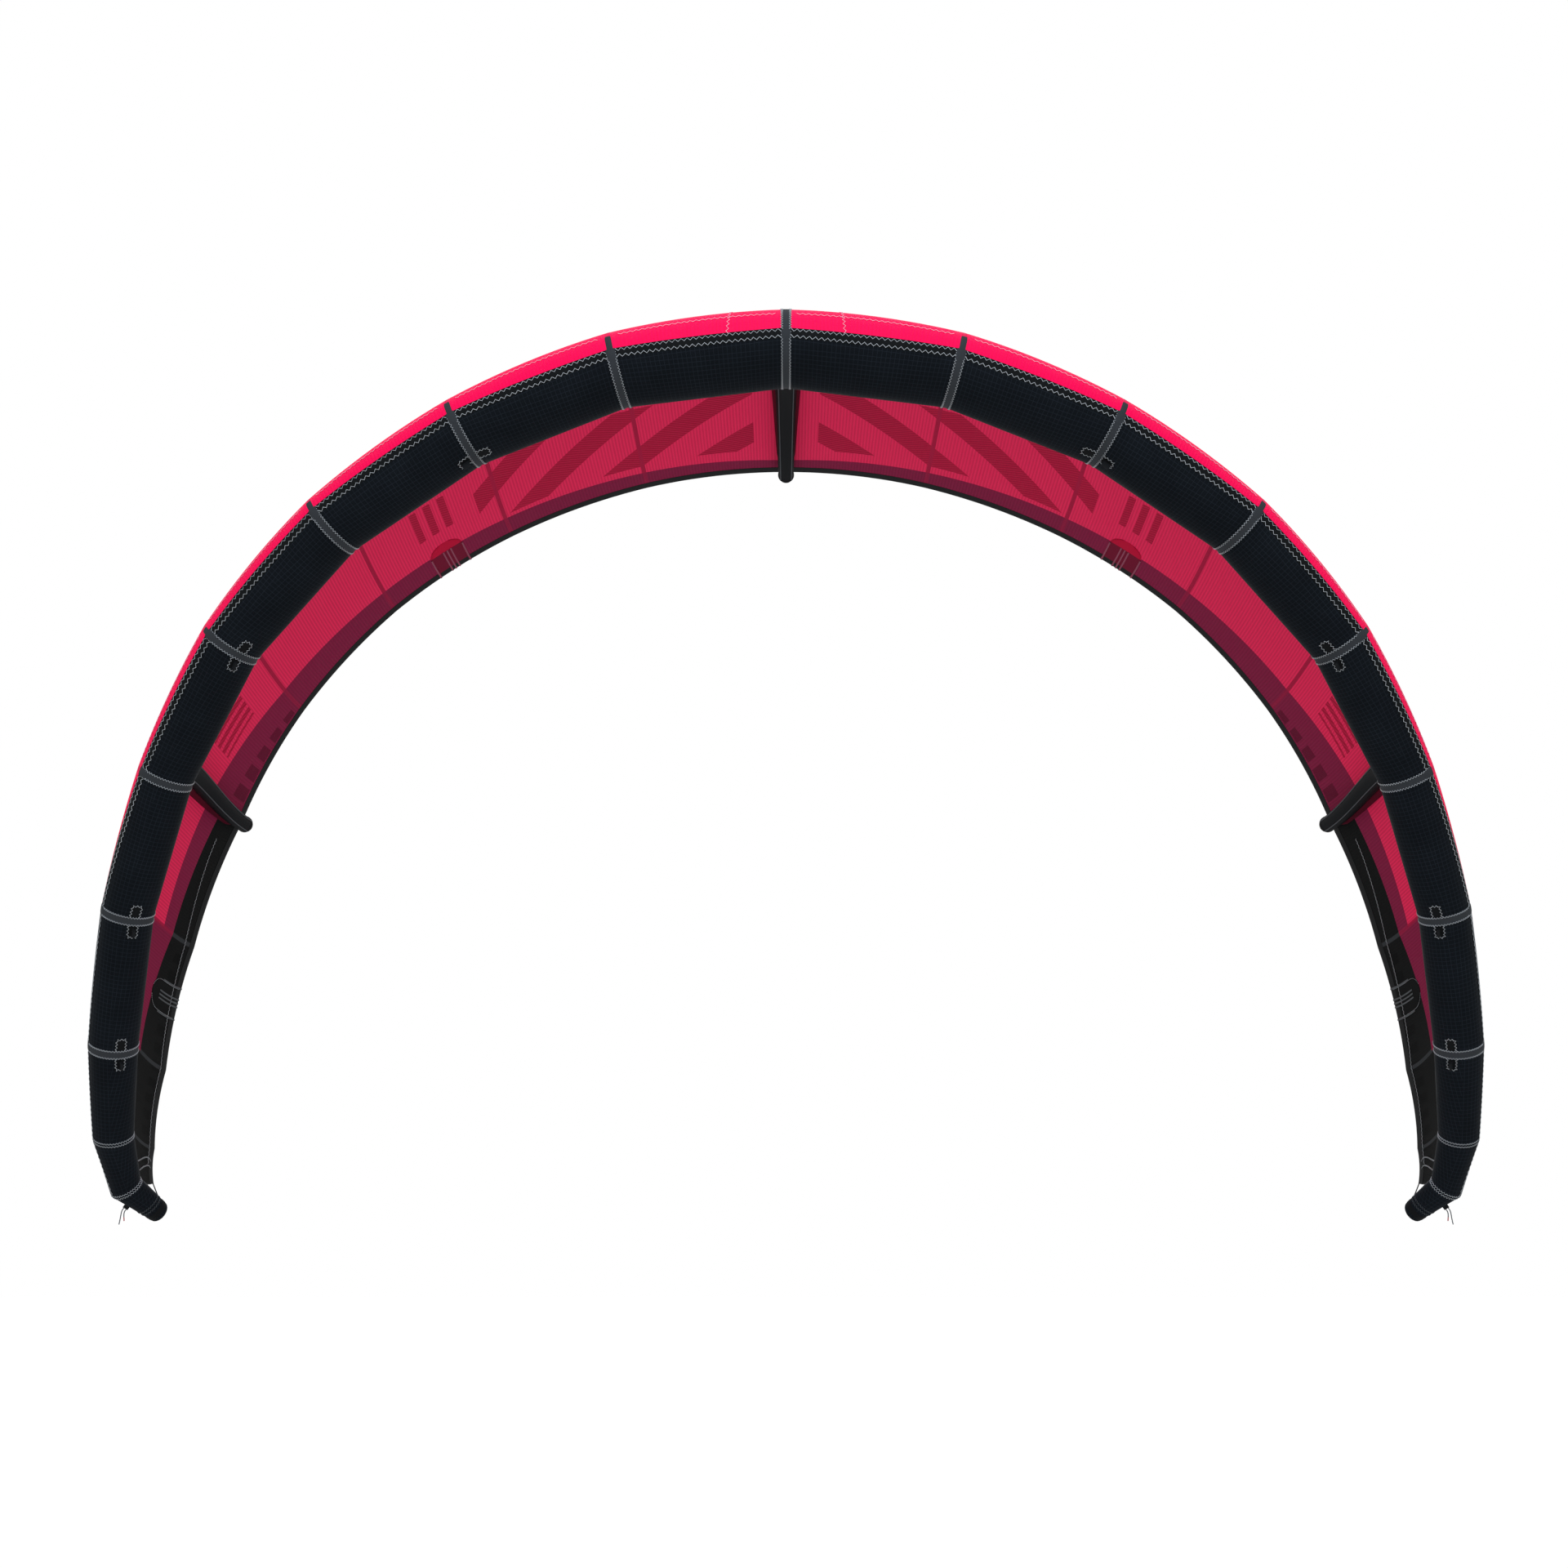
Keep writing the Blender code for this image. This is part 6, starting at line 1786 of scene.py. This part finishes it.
# Valve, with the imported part's sizes and the moulded edges that it leaves square. A rim or edge gives
# how far it goes in from the side and down from the top.
VALVE_STATION = 0.48
VALVE_ANGLE = 210
PAD_RADIUS = 0.030
PAD_TOP = 0.0045
PAD_UNDERSIDE = -0.0060
PAD_RIM = ((0.0030, 0.0), (0.0010, 0.0006), (0.0, 0.0022))
STEP_RADIUS = 0.0156
STEP_DEPTH = 0.0010
STEP_EDGE = 0.0003
NECK_RADIUS = 0.0160
NECK_DEPTH = 0.011
HOLE_RADIUS = NECK_RADIUS + CLEARANCE
HOLE_DEPTH = 0.030
HOLE_WALL_HEIGHTS = (-HOLE_DEPTH * 1.1, -HOLE_DEPTH * 0.1)
HOLE_SIDES = 48
BORE_RADIUS = 0.0120
BORE_EDGE = 0.0004
HEAD_RADIUS = 0.0150
HEAD_HEIGHT = 0.0060
HEAD_EDGE = 0.0006
INSERT_BORE = 0.0070
NOTCHES = 8
NOTCH_RADIUS = 0.0018
NOTCH_BAND = 0.0008
CAP_DISC = 0.0125
CAP_HEIGHT = 0.0025
CAP_LOWER_EDGE = 0.0004
CAP_UPPER_EDGE = 0.0005
CAP_CENTRE = 0.00001
PLUG_DEPTH = 0.0070
PLUG_WALL = 0.0018
CAP_TAB = 0.0085
CAP_TAB_WIDTH = 0.009
CAP_TAB_ROOT = CAP_DISC * 0.6
CAP_TAB_END = CAP_DISC * 0.75 + CAP_TAB
CAP_TAB_STEPS = 24
CAP_TAB_INSET = 0.0002
CAP_TAB_DROP = 0.0004
CAP_TAB_TIP_SHARE = 0.02
CAP_RIB_HEIGHT = 0.0004
CAP_RIB_HALF_WAVES = 6
TURN_STEPS = 128


def valve_place():
    """The valve's frame: X along the tube and Z out of it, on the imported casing's facet."""
    origin, along, around, out = tube_frame(VALVE_STATION, VALVE_ANGLE)
    place = Matrix((along, around, out)).transposed().to_4x4()
    place.translation = origin - out * facet_depth(tube_radius(VALVE_STATION), CAD_FACET_DEGREES)
    return place


def revolved(profile, place, reach=None):
    """A ring turned about a frame's Z; reach may change each point's radius with its angle."""
    rows = []
    for radius, height in profile:
        row = []
        for k in range(TURN_STEPS):
            angle = math.tau * k / TURN_STEPS
            r = reach(radius, angle) if reach else radius
            row.append(place @ Vector((r * math.cos(angle), r * math.sin(angle), height)))
        rows.append(row)
    return mesh_from_rows(rows + rows[:1], closed=True)


def notched(radius, angle):
    """The insert head's radius, with finger notches round its rim."""
    if radius < HEAD_RADIUS - NOTCH_BAND:
        return radius
    turn = (angle / math.tau * NOTCHES) % 1 - 0.5
    across = abs(turn) * math.tau / NOTCHES * HEAD_RADIUS
    return radius - math.sqrt(max(0.0, NOTCH_RADIUS ** 2 - across ** 2))


def valve_pad(place, step):
    """The base's stepped pad and its neck."""
    profile = [(BORE_RADIUS, -NECK_DEPTH), (BORE_RADIUS, step), (STEP_RADIUS, step),
               (STEP_RADIUS, PAD_TOP - STEP_EDGE), (STEP_RADIUS + STEP_EDGE, PAD_TOP)]
    profile += [(PAD_RADIUS - inwards, PAD_TOP - down) for inwards, down in PAD_RIM]
    profile += [(PAD_RADIUS, PAD_UNDERSIDE), (NECK_RADIUS, PAD_UNDERSIDE), (NECK_RADIUS, -NECK_DEPTH)]
    return revolved(profile, place)


def valve_insert(place, seat, top):
    """The insert's stem and its notched head."""
    stem = BORE_RADIUS - CLEARANCE
    profile = ((INSERT_BORE, -NECK_DEPTH), (INSERT_BORE, top - BORE_EDGE), (INSERT_BORE + BORE_EDGE, top),
               (HEAD_RADIUS - HEAD_EDGE, top), (HEAD_RADIUS, top - HEAD_EDGE), (HEAD_RADIUS, seat),
               (stem, seat), (stem, -NECK_DEPTH))
    return revolved(profile, place, notched)


def valve_cap(place, seat):
    """The cap's disc with its hollow plug."""
    plug = INSERT_BORE - CLEARANCE
    inner = plug - PLUG_WALL
    top = seat + CAP_HEIGHT
    profile = ((CAP_CENTRE, seat), (inner, seat), (inner, seat - PLUG_DEPTH), (plug, seat - PLUG_DEPTH),
               (plug, seat), (CAP_DISC - CAP_LOWER_EDGE, seat), (CAP_DISC, seat + CAP_LOWER_EDGE),
               (CAP_DISC, top - CAP_UPPER_EDGE), (CAP_DISC - CAP_UPPER_EDGE, top), (CAP_CENTRE, top))
    return revolved(profile, place)


def cap_tab(place, seat):
    """The cap's finger tab: a rounded tongue with three grip ribs."""
    rows = []
    low = seat + CAP_TAB_INSET
    half_width = CAP_TAB_WIDTH / 2
    for x in spread(CAP_TAB_ROOT, CAP_TAB_END, CAP_TAB_STEPS):
        into = max(0.0, x - (CAP_TAB_END - half_width)) / half_width
        half = half_width * max(CAP_TAB_TIP_SHARE, math.sqrt(max(0.0, 1 - into ** 2)))
        top = seat + CAP_HEIGHT - CAP_TAB_DROP
        if x > CAP_DISC:
            wave = (x - CAP_DISC) / (CAP_TAB_END - CAP_DISC) * math.pi * CAP_RIB_HALF_WAVES
            top += CAP_RIB_HEIGHT * max(0.0, math.sin(wave))
        rows.append([place @ Vector(point) for point in
                     ((x, -half, low), (x, half, low), (x, half, top), (x, -half, top))])
    return mesh_from_rows(rows, closed=True, capped=True)


def valve():
    """The valve's base on the casing, its screw-in insert and its pull-out cap."""
    place = valve_place()
    step = PAD_TOP - STEP_DEPTH
    seat = step + CLEARANCE
    top = seat + HEAD_HEIGHT
    fit_piece("valve_pad", valve_pad(place, step), "valve_moulding", VALVE_PLASTIC, nodes=["valve_base"])
    fit_piece("valve_insert_ring", valve_insert(place, seat, top), "valve_moulding", VALVE_PLASTIC,
              nodes=["valve_insert"], body="valve_insert")
    cap_seat = top + CLEARANCE
    cap = joined([valve_cap(place, cap_seat), cap_tab(place, cap_seat)])
    fit_piece("valve_pull_cap", cap, "valve_moulding", CAP_RUBBER, nodes=["valve_cap"], body="valve_cap")


# Camera, lamps and floor. A lamp has its place, the point that it looks at, its size, power and tint.
CAMERA_PLACE = (0.0, -7.867, -2.067)
CAMERA_TILT_DEGREES = 6.4876
SENSOR_WIDTH = 36
FOCAL_PIXELS = 3676
FRAME_PIXELS = 1920
CENTRE_PIXEL = 962.5
CLIP_DISTANCES = (0.1, 100)
WORLD_STRENGTH = 0.85
LAMPS = {
    "key": ((0.0, -4.6, 5.4), (0, 0.3, -0.6), 2.2, 270, "#D8E6FF"),
    "overhead": ((0.0, 0.5, 6.0), (0, 0.5, -0.6), 5.0, 60, "#FFFFFF"),
}
FLOOR_HEIGHT = -4.2
FLOOR_REACH = 30
FLOOR_TONE = "#F2F2F2"
FLOOR_GLOW = 1.06
FLOOR_GLOW_SHARE = 0.88


def camera():
    """The photograph's view: from the front and below, tilted up."""
    data = bpy.data.cameras.new("camera")
    data.sensor_width = SENSOR_WIDTH
    data.lens = data.sensor_width * FOCAL_PIXELS / FRAME_PIXELS
    data.shift_x = (FRAME_PIXELS / 2 - CENTRE_PIXEL) / FRAME_PIXELS
    data.clip_start, data.clip_end = CLIP_DISTANCES
    eye = bpy.data.objects.new("camera", data)
    eye.location = CAMERA_PLACE
    eye.rotation_euler = (math.radians(90 + CAMERA_TILT_DEGREES), 0, 0)
    bpy.context.scene.collection.objects.link(eye)
    bpy.context.scene.camera = eye


def white_world():
    """A world that looks white and lights the kite a little less than that."""
    world = bpy.data.worlds.new("studio")
    world.use_nodes = True
    tree = world.node_tree
    rays = add_node(tree, "ShaderNodeLightPath")
    seen = rays.outputs["Is Camera Ray"]
    for other in ("Is Glossy Ray", "Is Transmission Ray"):
        seen = add_node(tree, "ShaderNodeMath", {0: seen, 1: rays.outputs[other]}, operation="MAXIMUM")
    strength = add_node(tree, "ShaderNodeMapRange",
                        {"Value": seen, "To Min": WORLD_STRENGTH, "To Max": 1.0})
    back = tree.nodes["Background"]
    back.inputs["Color"].default_value = (1, 1, 1, 1)
    tree.links.new(strength.outputs[0], back.inputs["Strength"])
    bpy.context.scene.world = world


def lamps():
    """Soft square lamps in front above and overhead."""
    for name, (place, target, size, power, tint) in LAMPS.items():
        data = bpy.data.lights.new(name, "AREA")
        data.size = size
        data.energy = power
        data.color = colour(tint)[:3]
        lamp = bpy.data.objects.new(name, data)
        lamp.location = place
        lamp.rotation_euler = (Vector(target) - Vector(place)).to_track_quat("-Z", "Y").to_euler()
        bpy.context.scene.collection.objects.link(lamp)


def pale_floor():
    """A pale floor under the flying kite, clear from below."""
    mesh = bpy.data.meshes.new("floor")
    corners = [(x * FLOOR_REACH, y * FLOOR_REACH, FLOOR_HEIGHT)
               for x, y in ((-1, -1), (1, -1), (1, 1), (-1, 1))]
    mesh.from_pydata(corners, [], [(0, 1, 2, 3)])
    material = bpy.data.materials.new("pale_studio_floor")
    material.use_nodes = True
    tree = material.node_tree
    tree.nodes.clear()
    rays = add_node(tree, "ShaderNodeLightPath")
    paint = add_node(tree, "ShaderNodeBsdfDiffuse", {"Color": colour(FLOOR_TONE)})
    glow = add_node(tree, "ShaderNodeEmission", {"Strength": FLOOR_GLOW})
    share = add_node(tree, "ShaderNodeMath", {0: rays.outputs["Is Camera Ray"], 1: FLOOR_GLOW_SHARE},
                     operation="MULTIPLY")
    pale = add_node(tree, "ShaderNodeMixShader", {0: share, 1: paint, 2: glow})
    clear = add_node(tree, "ShaderNodeBsdfTransparent")
    facing = add_node(tree, "ShaderNodeNewGeometry")
    surface = add_node(tree, "ShaderNodeMixShader", {0: facing.outputs["Backfacing"], 1: pale, 2: clear})
    add_node(tree, "ShaderNodeOutputMaterial", {"Surface": surface})
    add_piece("studio_floor", mesh, material)


camera()
white_world()
lamps()
pale_floor()
leading_edge_casing()
seam_tapes()
canopy_front_tape()
struts()
canopy()
trailing_edge_hems()
casing_stitches()
tapes_over_canopy()
canopy_top_stitches()
bridle_patches()
webbing_loops()
wing_tip_trim()
leech_lines()
pigtails()
batten_patches()
canopy_under_stitches()
one_pump_hoses()
valve()
clips_and_bladders()

bpy.context.scene.view_settings.view_transform = "Standard"
bpy.context.view_layer.update()
